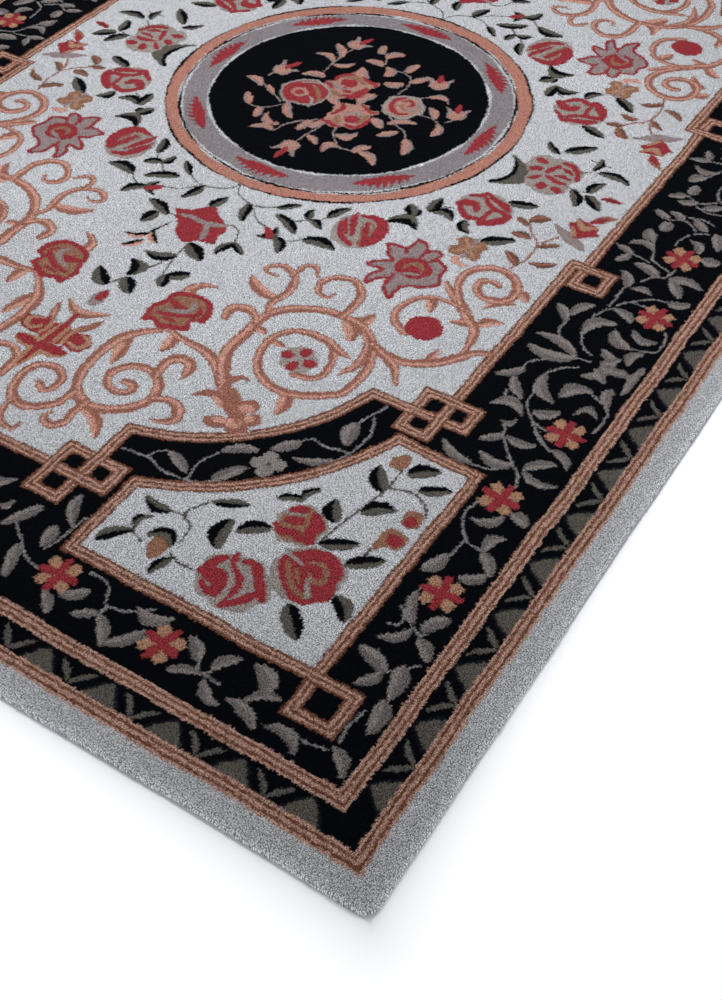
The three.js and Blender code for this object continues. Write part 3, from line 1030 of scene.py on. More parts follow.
# The flower at each side of the medallion: red ovals on grey
SIDE_FLOWER = (
    (ASH, 461, 1358, 44, 38, 0, 0.03),
    (ASH, 500, 1360, 24, 32, 0, 0.03),
    (ASH, 466, 1314, 42, 32, -10, 0.03),
    (RED, 502, 1372, 13, 8, -15, 0.04),
    (RED, 502, 1344, 13, 8, 30, 0.04),
    (RED, (9, 11, 10), ((468, 1374), (474, 1361), (480, 1346))),
    (RED, (9, 12, 12, 8), ((464, 1386), (446, 1384), (430, 1369), (422, 1350))),
    (RED, (5, 12, 5), ((462, 1370), (450, 1367), (436, 1360))),
    (RED, (6, 11, 6), ((461, 1342), (448, 1346), (434, 1345))),
    (RED, (7, 11, 13, 8), ((475, 1334), (462, 1330), (448, 1326), (436, 1328))),
    (RED, (6, 12, 7), ((483, 1327), (490, 1320), (498, 1312))),
    (RED, 469, 1303, 9, 12, -20, 0.04),
    (RED, 440, 1304, 12, 8, -22, 0.04),
)
# The broad leaf that holds the flower, and the leaves and stems beside it
SIDE_SHEATH = (
    (OLIVE, (5, 12, 32, 36, 20, 6),
     ((556, 1361), (538, 1348), (518, 1325), (514, 1302), (530, 1282), (550, 1266))),
    (BLACK, (4, 8, 9, 8, 6), ((544, 1352), (534, 1330), (529, 1308), (536, 1286), (552, 1267))),
)
SIDE_LEAVES = (
    # base u, v, tip u, v, width, bend, black on the left
    (389, 1325, 376, 1369, 19, 0.10, True),
    (387, 1320, 349, 1288, 20, 0.0, False),
    (418, 1321, 390, 1277, 20, 0.12, True),
    (486, 1405, 521, 1435, 15, 0.10, False),
    (482, 1418, 436, 1464, 21, 0.0, True),
    (412, 1394, 411, 1436, 14, -0.10, False),
    (400, 1393, 338, 1386, 19, 0.12, True),
)
SIDE_STEMS = (
    ((430, 1322), (390, 1325)),
    ((425, 1377), (410, 1389)),
)


def paint_side_group(chart):
    """The flower and sprays at each side of the medallion, which aren't mirrored end to end."""
    draw(chart, SIDE_SHEATH + SIDE_FLOWER, BOTH_SIDES)
    two_tone(chart, SIDE_LEAVES, BOTH_SIDES)
    for points in SIDE_STEMS:
        stem(chart, points, FIELD_STEM, OLIVE, BOTH_SIDES)
    leaf(chart, 363, 1322, 325, 1329, 14, 0.05, RED, WINE, BOTH_SIDES)


# The bouquet in the middle of the medallion, in mm from a long side and from the near end
BOUQUET_STEMS = (
    ((1003, 1420), (1005, 1455), (1003, 1500), (1000, 1520)),
    ((915, 1505), (925, 1525), (940, 1540)),
    ((905, 1495), (880, 1497), (865, 1497), (845, 1485), (836, 1455), (838, 1425)),
    ((870, 1500), (862, 1520)),
    ((795, 1438), (775, 1448)),
    ((1013, 1283), (1030, 1295), (1055, 1305), (1075, 1320)),
    ((1085, 1350), (1084, 1370)),
    ((1003, 1278), (1020, 1255), (1045, 1242), (1065, 1244)),
    ((920, 1268), (945, 1245), (960, 1222), (965, 1195)),
    ((900, 1265), (902, 1235), (908, 1210), (910, 1180)),
    ((872, 1262), (865, 1243), (845, 1222), (835, 1212), (800, 1215)),
    ((810, 1350), (790, 1335), (760, 1318), (745, 1300)),
    ((765, 1385), (740, 1385), (720, 1375)),
    ((712, 1388), (704, 1405)),
)
BOUQUET_LEAVES = (
    # base u, v, tip u, v, width, bend
    (1001, 1480, 1040, 1522, 18, -0.10),
    (1004, 1455, 1056, 1468, 17, -0.25),
    (1003, 1450, 965, 1476, 15, -0.15),
    (990, 1403, 1032, 1388, 20, -0.15),
    (945, 1530, 955, 1568, 16, 0.0),
    (930, 1525, 900, 1557, 22, 0.15),
    (915, 1498, 957, 1497, 19, -0.10),
    (905, 1500, 892, 1465, 24, 0.25),
    (863, 1500, 858, 1543, 18, 0.05),
    (843, 1472, 812, 1512, 18, 0.0),
    (846, 1460, 882, 1442, 22, 0.10),
    (785, 1445, 740, 1447, 16, 0.30),
    (735, 1385, 765, 1417, 17, -0.10),
    (722, 1376, 713, 1332, 18, 0.20),
    (800, 1325, 752, 1357, 18, 0.15),
    (770, 1312, 795, 1280, 18, 0.0),
    (745, 1300, 722, 1252, 22, 0.10),
    (870, 1400, 880, 1350, 26, -0.20),
    (950, 1345, 905, 1325, 18, 0.10),
    (835, 1328, 798, 1305, 20, 0.05),
    (998, 1288, 960, 1245, 19, -0.10),
    (1058, 1243, 1085, 1278, 17, 0.0),
    (1034, 1248, 1020, 1212, 17, 0.0),
    (968, 1215, 1012, 1240, 17, 0.30),
    (968, 1195, 1012, 1180, 20, -0.20),
    (925, 1262, 932, 1218, 18, 0.0),
    (905, 1215, 872, 1198, 15, 0.10),
    (862, 1243, 828, 1270, 22, -0.25),
    (830, 1215, 852, 1183, 20, -0.40),
    (805, 1212, 782, 1245, 18, 0.10),
    (795, 1218, 750, 1195, 20, 0.20),
    (1075, 1312, 1122, 1325, 20, -0.15),
    (1040, 1300, 1068, 1320, 14, 0.0),
    (905, 1270, 914, 1238, 20, 0.0),
)
BOUQUET_BUDS = (
    # u, v, size, tip u, tip v
    (1003, 1538, 21, 987, 1574),
    (1075, 1381, 22, 1058, 1424),
    (790, 1496, 22, 802, 1530),
    (708, 1420, 21, 720, 1456),
    (912, 1168, 22, 914, 1120),
)
BOUQUET_FLOWERS = (
    (CORAL, ((947, 1472), (932, 1464), (922, 1448), (912, 1436), (889, 1438), (883, 1427), (891, 1412),
              (890, 1396), (897, 1378), (900, 1364), (916, 1360), (922, 1351), (938, 1350), (956, 1357),
              (972, 1368), (979, 1384), (978, 1396), (967, 1404), (970, 1420), (960, 1434), (951, 1446))),
    (RED, (7, 9, 8, 5), ((966, 1402), (968, 1418), (958, 1434), (948, 1440))),
    (RED, (5, 9, 10, 7), ((925, 1440), (908, 1432), (890, 1430), (888, 1424))),
    (OCHRE, (8, 13, 12, 8), ((958, 1422), (944, 1430), (926, 1428), (912, 1420))),
    (RED, 937, 1408, 17, 15, 0, 0.06),
    (RED, (12, 19, 22, 16, 8), ((896, 1404), (899, 1390), (903, 1376), (912, 1368), (922, 1366))),
    (RED, (6, 12, 6), ((936, 1388), (928, 1380), (918, 1382))),
    (RED, (6, 8, 6), ((978, 1388), (966, 1384), (958, 1376))),
    (OCHRE, (8, 14, 12, 6), ((962, 1366), (950, 1364), (936, 1362), (926, 1358))),
    (GREY, (5, 9, 8, 5), ((970, 1394), (952, 1386), (940, 1382), (926, 1388))),
    (GREY, (4, 8, 6), ((930, 1464), (926, 1452), (918, 1444))),
    (ASH, 991, 1336, 50, 47, 20, 0.03),
    (RED, 991, 1336, 44, 41, 20, 0.02),
    (CORAL, 1000, 1331, 18, 16, 0, 0.04),
    (RED, 1000, 1331, 9, 9, 0, 0.04),
    (OCHRE, (4, 8, 9, 8, 4), ((992, 1366), (976, 1356), (963, 1342), (955, 1328), (952, 1316))),
    (ASH, (4, 6, 4), ((1014, 1362), (1000, 1372), (984, 1377))),
    (ASH, (4, 8, 7), ((975, 1328), (963, 1318), (958, 1298))),
    (CORAL, ((872, 1358), (860, 1356), (851, 1347), (838, 1353), (833, 1344), (841, 1330), (834, 1316),
              (832, 1300), (838, 1284), (850, 1274), (866, 1274), (872, 1264), (888, 1262), (904, 1270),
              (916, 1266), (910, 1280), (915, 1296), (911, 1312), (917, 1322), (908, 1342), (893, 1346))),
    (RED, (7, 11, 9, 6), ((910, 1340), (900, 1326), (902, 1310), (908, 1298))),
    (RED, (6, 11, 10, 8, 6), ((836, 1324), (835, 1306), (840, 1288), (852, 1280), (866, 1282))),
    (RED, (5, 9, 9, 5), ((872, 1352), (858, 1346), (846, 1342), (838, 1346))),
    (RED, (6, 10, 9, 5), ((912, 1272), (896, 1272), (880, 1268), (872, 1270))),
    (OCHRE, (6, 12, 10), ((892, 1300), (890, 1288), (882, 1280))),
    (OCHRE, (5, 9, 8), ((846, 1330), (845, 1314), (848, 1298))),
    (GREY, (5, 9, 10, 6), ((884, 1310), (874, 1323), (858, 1325), (850, 1316))),
    (RED, 864, 1303, 15, 12, 25, 0.06),
    (ASH, 806, 1391, 40, 42, 0, 0.04),
    (CORAL, 806, 1391, 31, 33, 0, 0.05),
    (RED, (7, 11, 11, 10, 5), ((820, 1420), (831, 1400), (824, 1378), (805, 1366), (788, 1374))),
    (RED, (5, 8, 8, 5), ((816, 1408), (806, 1416), (794, 1408), (800, 1398))),
    (OCHRE, (5, 8, 5), ((812, 1398), (806, 1388), (798, 1384))),
    (GREY, (4, 8, 5), ((788, 1416), (784, 1400), (792, 1384))),
)


def bud(chart, u, v, size, tip_u, tip_v):
    """A tulip bud: a coral heart, two grey petals that curl outward, and a red one at the tip."""
    span = np.array([tip_u - u, tip_v - v])
    du, dv = span / np.hypot(*span)
    for side in (1, -1):
        curl = [(u + size * (ahead * du - side * out * dv), v + size * (ahead * dv + side * out * du))
                for ahead, out in ((-0.7, 0.0), (-0.3, 0.55), (0.45, 0.62), (1.0, 1.05))]
        brush(chart, curl, (8, 13, 11, 5), GREY, ONCE)
    oval(chart, u, v, 0.72 * size, 0.78 * size, 0, CORAL, ONCE, 0.07)
    leaf(chart, u + 0.25 * size * du, v + 0.25 * size * dv, tip_u, tip_v, 13, 0, RED, RED, ONCE)


# The flames on the mauve ring, in mm: how many, the radius of their middles and of their spines,
# half a length and how far the spine sags to its ends. Then the heights of the outer and inner
# sides and of the teeth on them.
FLAMES = 8
FLAME_RADIUS, SPINE_RADIUS, FLAME_REACH, SPINE_SAG = 290, 287, 60, 4
FLAME_OUTER, FLAME_INNER = (8, 18), (9, 4)
MEDALLION_REACH = 360


def paint_rings(chart):
    """The rings of the medallion, each with a slightly unsteady edge, and the flames. A flame is
    the space between two sides that taper to its ends and rise and fall with slanting teeth."""
    limits, x, y = chart.window((-MEDALLION_REACH,) * 2, (MEDALLION_REACH,) * 2)
    radius = np.hypot(x, y)
    angle = np.arctan2(y, x)
    for outer, yarn, nearer in MEDALLION_RINGS:
        wobble = 0.9 * np.sin(7 * angle + outer) + 0.8 * np.sin(17 * angle + 2 * outer)
        chart.stamp(limits, np.hypot(x, y + nearer) < outer + wobble, yarn, ONCE)
    pitch = 2 * math.pi / FLAMES
    number = np.round(angle / pitch)
    run = (angle - number * pitch) * FLAME_RADIUS / FLAME_REACH
    taper = np.clip(1 - np.abs(run) ** 1.7, 0, 1)
    slant = 4.6 * run + 0.035 * (radius - FLAME_RADIUS) + number * 0.37
    teeth = np.abs(slant % 1 - 0.5) * 2
    outward = radius - SPINE_RADIUS - SPINE_SAG * run ** 2
    outer, inner = (taper * (plain + tooth * teeth) for plain, tooth in (FLAME_OUTER, FLAME_INNER))
    flame = (outward < outer) & (-outward < inner) & (np.abs(run) < 1)
    chart.stamp(limits, flame, RED, ONCE)


def paint_medallion(chart):
    """The medallion: its rings with their flames, and the bouquet."""
    paint_rings(chart)
    for points in BOUQUET_STEMS:
        stem(chart, points, BOUQUET_STEM, GREY, ONCE)
    veined(chart, BOUQUET_LEAVES, (GREY, CORAL), BOUQUET_VEIN, (CORAL, CORAL), ONCE)
    for row in BOUQUET_BUDS:
        bud(chart, *row)
    draw(chart, BOUQUET_FLOWERS, ONCE)


def paint_design(step):
    """The whole design, painted from the ground up."""
    chart = Chart(step)
    paint_ground(chart)
    paint_guard(chart)
    paint_border(chart)
    paint_fillets(chart)
    paint_panel(chart)
    paint_field_scrolls(chart)
    paint_field_flowers(chart)
    paint_end_group(chart)
    paint_side_group(chart)
    paint_medallion(chart)
    return chart


# The pile's mesh

# Tufts across and along the flat top, and the tiles that it is split into
TUFTS = (538, 807)
TILES = (2, 3)
# The flat top ends this far inside the cut edge, in mm, and the rim goes on from there
INSET = 16.0
# How many steps a round corner has
FAN_STEPS = 8
# The canvas, in mm: its thickness, how far inside the cut edge it ends, and its corners' radius
BACKING = 3.0
BACKING_INSET = 3.4
BACKING_CORNER = 14.0
# How far the outermost tufts splay past the backing, in mm
SPLAY = 6.5
# The painted highlight on the tips of those tufts, where the rounded edge catches the light: how much lighter
# they are, as a share, and the power that it grows with outwards
FRINGE_HIGHLIGHT, FRINGE_HIGHLIGHT_POWER = 0.50, 3
# How far the hand strays from the chart, in mm, and over what size of patch
HAND_STRAYS = ((1.5, 95), (0.8, 28), (1.0, 9))
# How far the end of one tuft strays from its place, in mm
END_STRAY = 0.7
# The outline's waves: amplitude in mm, how many times round, phase
EDGE_WAVES = ((1.3, 9, 0.4), (0.8, 23, 1.9), (0.4, 61, 3.1))
# How far in from the edge its waves are felt, in mm
WAVE_DEPTH = 40
# The groove where two yarns meet: its depth in mm, how much painted shade darkens it, and how fast it fills
GROOVE_DEPTH, GROOVE_PAINTED_SHADE, GROOVE_GAIN = 1.1, 0.16, 1.6
# How far the plain pile lies under the top of the CAD solid, in mm
TRIM = 0.2
# Unevenness of the pile's height, in mm, and of its lightness, as a share, the lightness being soft painted
# shade from the lay of the pile: amount, patch size, seed
HEIGHT_CLOUDS = ((0.25, 90, 41), (0.2, 17, 42))
SHADE_CLOUDS = ((0.03, 210, 31), (0.02, 60, 32))
# The most that a tuft stands out of line, in mm
TUFT_LEAN_LIMIT = 1.2
HAND_SEED, PILE_SEED, PILE_YARN_SEED, RIM_SEED, RIM_YARN_SEED = 11, 5, 7, 9, 17
# The rim's section, from the pile's edge out and down to the floor: inset in mm, share of height
RIM_SECTION = ((12.4, 1.0), (9.0, 1.0), (6.2, 0.98), (3.8, 0.93), (1.9, 0.84), (0.6, 0.70), (0.0, 0.52),
               (0.2, 0.34), (1.2, 0.14), (3.2, 0.0))
# How uneven the rim is outwards and in height, in mm
RIM_STRAY, RIM_RISE = 0.5, 0.35
# Two points nearer than this are one, in mm
SAME = 1e-6
# The part of its picture that a piece's places take up, and the margin round it. Then the same of
# one side's lane on the rim's picture.
PICTURE, MARGIN = 0.998, 0.001
LANE, LANE_MARGIN = 0.96, 0.02


def ease(t):
    """The curve 3t^2 - 2t^3, which leaves 0 and reaches 1 gently."""
    return t * t * (3 - 2 * t)


def cloud(x, y, size, seed):
    """Smooth seeded values from -1 to 1: random numbers on a square lattice, eased between its
    points in both directions."""
    rng = np.random.default_rng(seed)
    lattice = rng.uniform(-1, 1, (int(2 * HALF_LENGTH / size) + 6, int(2 * HALF_WIDTH / size) + 6))
    gx = np.clip((x + HALF_WIDTH) / size + 2, 0, lattice.shape[1] - 1.01)
    gy = np.clip((y + HALF_LENGTH) / size + 2, 0, lattice.shape[0] - 1.01)
    ix, iy = gx.astype(int), gy.astype(int)
    fx, fy = ease(gx - ix), ease(gy - iy)
    low = lattice[iy, ix] * (1 - fx) + lattice[iy, ix + 1] * fx
    high = lattice[iy + 1, ix] * (1 - fx) + lattice[iy + 1, ix + 1] * fx
    return low * (1 - fy) + high * fy


def clouded(x, y, clouds, plain):
    """A plain value with clouds of unevenness added."""
    return sum((amount * cloud(x, y, size, seed) for amount, size, seed in clouds), start=plain)


def wander(x, y):
    """How far the tufter's hand strayed from the chart at each place: three smooth clouds each way."""
    return [sum(far * cloud(x, y, size, HAND_SEED + way + 2 * i)
                for i, (far, size) in enumerate(HAND_STRAYS)) for way in (0, 1)]


def edge_wave(gone):
    """How far the outline lies outside the cut size, at a distance round it, in mm: a sum of
    sine waves that fit whole numbers of times round the rug."""
    round_it = 4 * (HALF_WIDTH + HALF_LENGTH) - (8 - 2 * math.pi) * INSET
    return sum(a * np.sin(2 * math.pi * n * gone / round_it + p) for a, n, p in EDGE_WAVES)


def gone_round(x, y, side):
    """The distance round the outline, anticlockwise from the foot of the right side, of the
    places on a side: 0 is the right, 1 the far, 2 the left and 3 the near one."""
    quarter = math.pi / 2 * INSET
    long_side, short_side = 2 * (HALF_LENGTH - INSET), 2 * (HALF_WIDTH - INSET)
    starts = (0, long_side + quarter, long_side + short_side + 2 * quarter,
              2 * long_side + short_side + 3 * quarter)
    runs = (y + HALF_LENGTH, HALF_WIDTH - x, HALF_LENGTH - y, x + HALF_WIDTH)
    return starts[side] + runs[side] - INSET


def swell(x, y):
    """Moves places near each side in or out with that side's wave, eased away over WAVE_DEPTH."""
    out_x, out_y = np.zeros_like(x), np.zeros_like(y)
    for side, depth, sign in ((0, HALF_WIDTH - x, 1), (1, HALF_LENGTH - y, 1),
                              (2, HALF_WIDTH + x, -1), (3, HALF_LENGTH + y, -1)):
        moved = out_x if side % 2 == 0 else out_y
        moved += sign * edge_wave(gone_round(x, y, side)) * ease(np.clip(1 - depth / WAVE_DEPTH, 0, 1))
    return x + out_x, y + out_y


def groove_map(chart):
    """For each cell of the chart, how near it is to a change of yarn: the share of changes among
    the cells round it."""
    yarn = chart.yarn
    change = np.zeros(yarn.shape, np.float32)
    change[:, 1:] += yarn[:, 1:] != yarn[:, :-1]
    change[1:] += yarn[1:] != yarn[:-1]
    change = np.minimum(change, 1)
    for axis in (0, 1):
        change = (np.roll(change, 1, axis) + change + np.roll(change, -1, axis)) / 3
    return np.clip(change * GROOVE_GAIN, 0, 1)


def colours(chart, groove, palette, x, y, seed, speckle):
    """The yarn colour at each place, in linear light, with painted shade. Each place has its own seeded
    lightness, and painted shade darkens it where two yarns meet, in the groove where the pile parts,
    and in soft clouds from the lay of the pile."""
    rng = np.random.default_rng(seed)
    dx, dy = wander(x, y)
    sx = x + dx + rng.normal(0, END_STRAY, x.shape)
    sy = y + dy + rng.normal(0, END_STRAY, x.shape)
    cell = chart.cell(sx, sy)
    light = np.exp(rng.normal(0, 1, x.shape) * speckle)
    # Painted shade in the groove where two yarns meet and the pile parts
    light *= 1 - GROOVE_PAINTED_SHADE * groove[cell]
    # Soft clouds of painted shade from the lay of the pile
    light *= clouded(x, y, SHADE_CLOUDS, 1)
    return palette[chart.yarn[cell]] * light[..., None]


def tuft_grid():
    """The places of the pile's tufts, row by row from the near left, before they are moved."""
    x = np.linspace(INSET - HALF_WIDTH, HALF_WIDTH - INSET, TUFTS[0] + 1)
    y = np.linspace(INSET - HALF_LENGTH, HALF_LENGTH - INSET, TUFTS[1] + 1)
    return np.meshgrid(x, y)


def pile_surface(chart, groove, sizes):
    """The pile's surface over the whole grid. A tuft stands at the pile's height, less the groove
    where yarns meet, plus a seeded length of its own and two smooth clouds of unevenness."""
    rng = np.random.default_rng(PILE_SEED)
    x, y = tuft_grid()
    inner = np.ones(x.shape)
    inner[[0, -1]] = inner[:, [0, -1]] = 0
    dx, dy = wander(x, y)
    flat = THICKNESS - TRIM - GROOVE_DEPTH * groove[chart.cell(x + dx, y + dy)]
    z = clouded(x, y, HEIGHT_CLOUDS, flat)
    z += rng.normal(0, sizes.tuft_rise / MM, x.shape)
    px, py = swell(x, y)
    for moved in (px, py):
        lean = rng.normal(0, sizes.tuft_jitter / MM, x.shape)
        moved += inner * np.clip(lean, -TUFT_LEAN_LIMIT, TUFT_LEAN_LIMIT)
    return np.stack([px, py, z], -1)


def surface_normals(points):
    """The normal at each point of a surface: across the rows times along them."""
    across = np.gradient(points, axis=1)
    along = np.gradient(points, axis=0)
    normal = np.cross(across, along)
    return normal / np.linalg.norm(normal, axis=-1, keepdims=True)


def rim_start(surface):
    """The way round the edge of the flat top, anticlockwise from the foot of the right side, with
    a fan of directions at each corner. For each point: where it is, its place on the tuft grid, the
    direction outwards, the edge's wave, its side, and how far along that side it is from 0 to 1."""
    x, y = tuft_grid()
    fan = np.linspace(0, math.pi / 2, FAN_STEPS + 1)[1:-1]
    parts = []
    for side, cut in enumerate((np.s_[:, -1], np.s_[-1, ::-1], np.s_[::-1, 0], np.s_[0, :])):
        sx, sy = x[cut], y[cut]
        pick = np.concatenate([np.arange(len(sx)), np.full(len(fan), len(sx) - 1)])
        gone = gone_round(sx, sy, side)
        gone = np.concatenate([gone, gone[-1] + fan * INSET])
        angle = side * math.pi / 2 + np.concatenate([np.zeros(len(sx)), fan])
        parts.append((surface[cut][pick], np.stack([sx, sy], -1)[pick],
                      np.stack([np.cos(angle), np.sin(angle)], -1), edge_wave(gone),
                      np.full(len(pick), side), np.arange(len(pick)) / len(pick)))
    return [np.concatenate(part) for part in zip(*parts)]


def rim_rings(start, base, out, wave):
    """The rim as rings of points, each moved outwards and lowered from the flat top's edge as the
    section says. Also each ring's places on the chart, and its painted highlight: how much lighter it is."""
    rng = np.random.default_rng(RIM_SEED)
    held = ease(1 - INSET / WAVE_DEPTH)
    rings, spots, lights = [start], [base], [1.0]
    for inset, rise in RIM_SECTION:
        reach = INSET - inset + wave * (1 - held) + SPLAY * (1 - inset / INSET) * (rise > 0)
        reach = reach + rng.normal(0, RIM_STRAY, len(start)) * (rise < 1)
        height = start[:, 2] * rise + rng.normal(0, RIM_RISE, len(start)) * (rise > 0)
        rings.append(np.c_[start[:, :2] + out * reach[:, None], np.maximum(height, 0)])
        spots.append(base + out * (INSET - inset))
        # Painted highlight, growing towards the outer edge
        lights.append(1 + FRINGE_HIGHLIGHT * (1 - inset / INSET) ** FRINGE_HIGHLIGHT_POWER)
    return np.stack(rings), np.stack(spots), np.array(lights)


def banded(values, ahead):
    """The values at the corners of each face between one ring of points and the next."""
    return np.vstack([np.stack([low, high, high[ahead], low[ahead]], 1)
                      for low, high in zip(values[:-1], values[1:])])


def rim_picture(lane, run, ahead, depth):
    """The place on the rim's picture of each corner of each face: every side of the rug has a
    lane of its own, as long as the picture and a quarter of its height."""
    level = np.arange(depth) / (depth - 1)
    rise = np.stack([level[:-1], level[1:], level[1:], level[:-1]], -1)
    run_ahead = np.where(lane[ahead] == lane, run[ahead], 1.0)
    u = np.stack([run, run, run_ahead, run_ahead], -1) * PICTURE + MARGIN
    v = (lane[None, :, None] + rise[:, None, :] * LANE + LANE_MARGIN) / 4
    return np.stack([np.broadcast_to(u, v.shape), v], -1).reshape(-1, 4, 2)


# Making objects


def add_piece(name, points, faces, material):
    """A mesh object at the origin from points in millimetres."""
    mesh = bpy.data.meshes.new(name)
    mesh.from_pydata(np.asarray(points).reshape(-1, 3) * MM, [], faces)
    mesh.materials.append(material)
    obj = bpy.data.objects.new(name, mesh)
    bpy.context.scene.collection.objects.link(obj)
    return obj


def paint_corners(obj, rgb):
    """Gives each corner of each face its colour."""
    rgba = np.ones((len(obj.data.loops), 4), np.float32)
    rgba[:, :3] = np.asarray(rgb).reshape(-1, 3)
    attribute = obj.data.color_attributes.new(name="yarn_colour", type="FLOAT_COLOR", domain="CORNER")
    attribute.data.foreach_set("color", rgba.ravel())


def unwrap(obj, uv):
    """Gives each corner of each face its place on the piece's picture."""
    layer = obj.data.uv_layers.new(name="OFBake")
    layer.uv.foreach_set("vector", np.asarray(uv, np.float32).ravel())


def on_rug(obj):
    """Ties a piece to the rug's body, in the place of its CAD solid."""
    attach(obj, BODY)
    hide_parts(NODE)


# The materials

# How much light all the cloths mirror
SHEEN = 0.03
# The tufts' ends and their fibres, per metre
ENDS_SCALE, FIBRES_SCALE = 480.0, 700.0
# Each shade of the pile: the lowest and highest value that it follows, and the light there. The first is
# painted shade, darker in the gaps between the tufts' ends; the others are lighter and darker fibres and
# plies.
TUFT_GAP_SHADE = (0.12, 0.62, 1.42, 0.40)
FRAYED = (0.3, 0.7, 0.72, 1.30)
PLY = (0.0, 1.0, 0.76, 1.24)
# The canvas: its threads and slubs per metre, the colour of its thin and thick threads and where the
# slubs' noise turns from one to the other, and the light between its threads and on them
THREADS_SCALE, SLUBS_SCALE = 160.0, 60.0
CANVAS = ((0.3, (0.50, 0.45, 0.36, 1.0)), (0.7, (0.66, 0.61, 0.51, 1.0)))
WEAVE = (0.0, 1.0, 0.7, 1.05)
# The bumps of each: their strength, and their depth in metres
PILE_BUMPS = (0.8, 0.0012)
CANVAS_BUMPS = (0.5, 0.0006)


def node(tree, kind, **values):
    """A shader node with its inputs set, or linked when the value is another node's output. An
    input is given by its name, or by i and its number."""
    made = tree.nodes.new(kind)
    for key, value in values.items():
        numbered = key[0] == "i" and key[1:].isdigit()
        socket = made.inputs[int(key[1:]) if numbered else key.replace("_", " ")]
        if isinstance(value, bpy.types.NodeSocket):
            tree.links.new(value, socket)
        else:
            socket.default_value = value
    return made


def ranged(tree, value, low, high, at_low, at_high):
    """A value mapped from one range to another."""
    made = node(tree, "ShaderNodeMapRange", Value=value, From_Min=low, From_Max=high, To_Min=at_low,
                To_Max=at_high)
    return made.outputs["Result"]


def combined(tree, operation, one, other):
    """One value added to, multiplied by or otherwise combined with another."""
    made = node(tree, "ShaderNodeMath", i0=one, i1=other)
    made.operation = operation
    return made.outputs["Value"]


def reworked(tree, operation, vector, **other):
    """The node that works on a vector, with another as i1 where the operation takes one."""
    made = node(tree, "ShaderNodeVectorMath", i0=vector, **other)
    made.operation = operation
    return made


def cloth_material(name, roughness):
    """A new material with a rough, barely shiny principled shader, and its node tree."""
    material = bpy.data.materials.new(name)
    material.use_nodes = True
    tree = material.node_tree
    shader = tree.nodes["Principled BSDF"]
    shader.inputs["Roughness"].default_value = roughness
    shader.inputs["Specular IOR Level"].default_value = SHEEN
    return material, tree, shader


def finish_cloth(tree, shader, colour, shade, height, bumps):
    """Links the shader's colour, times its shade, and its bumps, which follow a height."""
    tint = reworked(tree, "MULTIPLY", colour, i1=shade)
    tree.links.new(tint.outputs["Vector"], shader.inputs["Base Color"])
    bump = node(tree, "ShaderNodeBump", Strength=bumps[0], Distance=bumps[1], Height=height)
    tree.links.new(bump.outputs["Normal"], shader.inputs["Normal"])


def pile_material():
    """Cut wool pile: the yarn colour of each tuft, painted shade in the gaps between the tufts' ends,
    lighter and darker fibres, and a bumpy nap from noise at the size of a tuft's end and of its fibres."""
    material = bpy.data.materials.get("rug_pile")
    if material:
        return material
    material, tree, shader = cloth_material("rug_pile", 0.95)
    place = node(tree, "ShaderNodeTexCoord").outputs["Object"]
    # The tufts' colours, which carry their painted shade and the rim's painted highlight
    yarn = node(tree, "ShaderNodeAttribute")
    yarn.attribute_name = "yarn_colour"
    fibres = node(tree, "ShaderNodeTexNoise", Vector=place, Scale=FIBRES_SCALE, Detail=2.0).outputs["Fac"]
    ends = node(tree, "ShaderNodeTexVoronoi", Vector=place, Scale=ENDS_SCALE, Randomness=0.75)
    ends.voronoi_dimensions = "2D"
    ply = node(tree, "ShaderNodeSeparateColor", Color=ends.outputs["Color"]).outputs["Red"]
    # Painted shade: each tuft's end is darker towards its edge, in the gaps between the tufts
    shade = combined(tree, "MULTIPLY", ranged(tree, ends.outputs["Distance"], *TUFT_GAP_SHADE),
                     ranged(tree, fibres, *FRAYED))
    shade = combined(tree, "MULTIPLY", shade, ranged(tree, ply, *PLY))
    height = combined(tree, "SUBTRACT", fibres, ends.outputs["Distance"])
    finish_cloth(tree, shader, yarn.outputs["Color"], shade, height, PILE_BUMPS)
    return material


def backing_material():
    """Unbleached canvas glued under the pile: a plain weave of two crossing waves, with slubs."""
    material, tree, shader = cloth_material("rug_backing", 0.9)
    place = node(tree, "ShaderNodeTexCoord").outputs["Object"]
    slubs = node(tree, "ShaderNodeTexNoise", Vector=place, Scale=SLUBS_SCALE, Detail=3.0)
    threads = []
    for direction in ("X", "Y"):
        wave = node(tree, "ShaderNodeTexWave", Vector=place, Scale=THREADS_SCALE, Distortion=0.6)
        wave.bands_direction = direction
        threads.append(wave.outputs["Fac"])
    weave = combined(tree, "MAXIMUM", *threads)
    ramp = node(tree, "ShaderNodeValToRGB", Fac=slubs.outputs["Fac"])
    for element, (position, colour) in zip(ramp.color_ramp.elements, CANVAS):
        element.position = position
        element.color = colour
    finish_cloth(tree, shader, ramp.outputs["Color"], ranged(tree, weave, *WEAVE), weave, CANVAS_BUMPS)
    return material


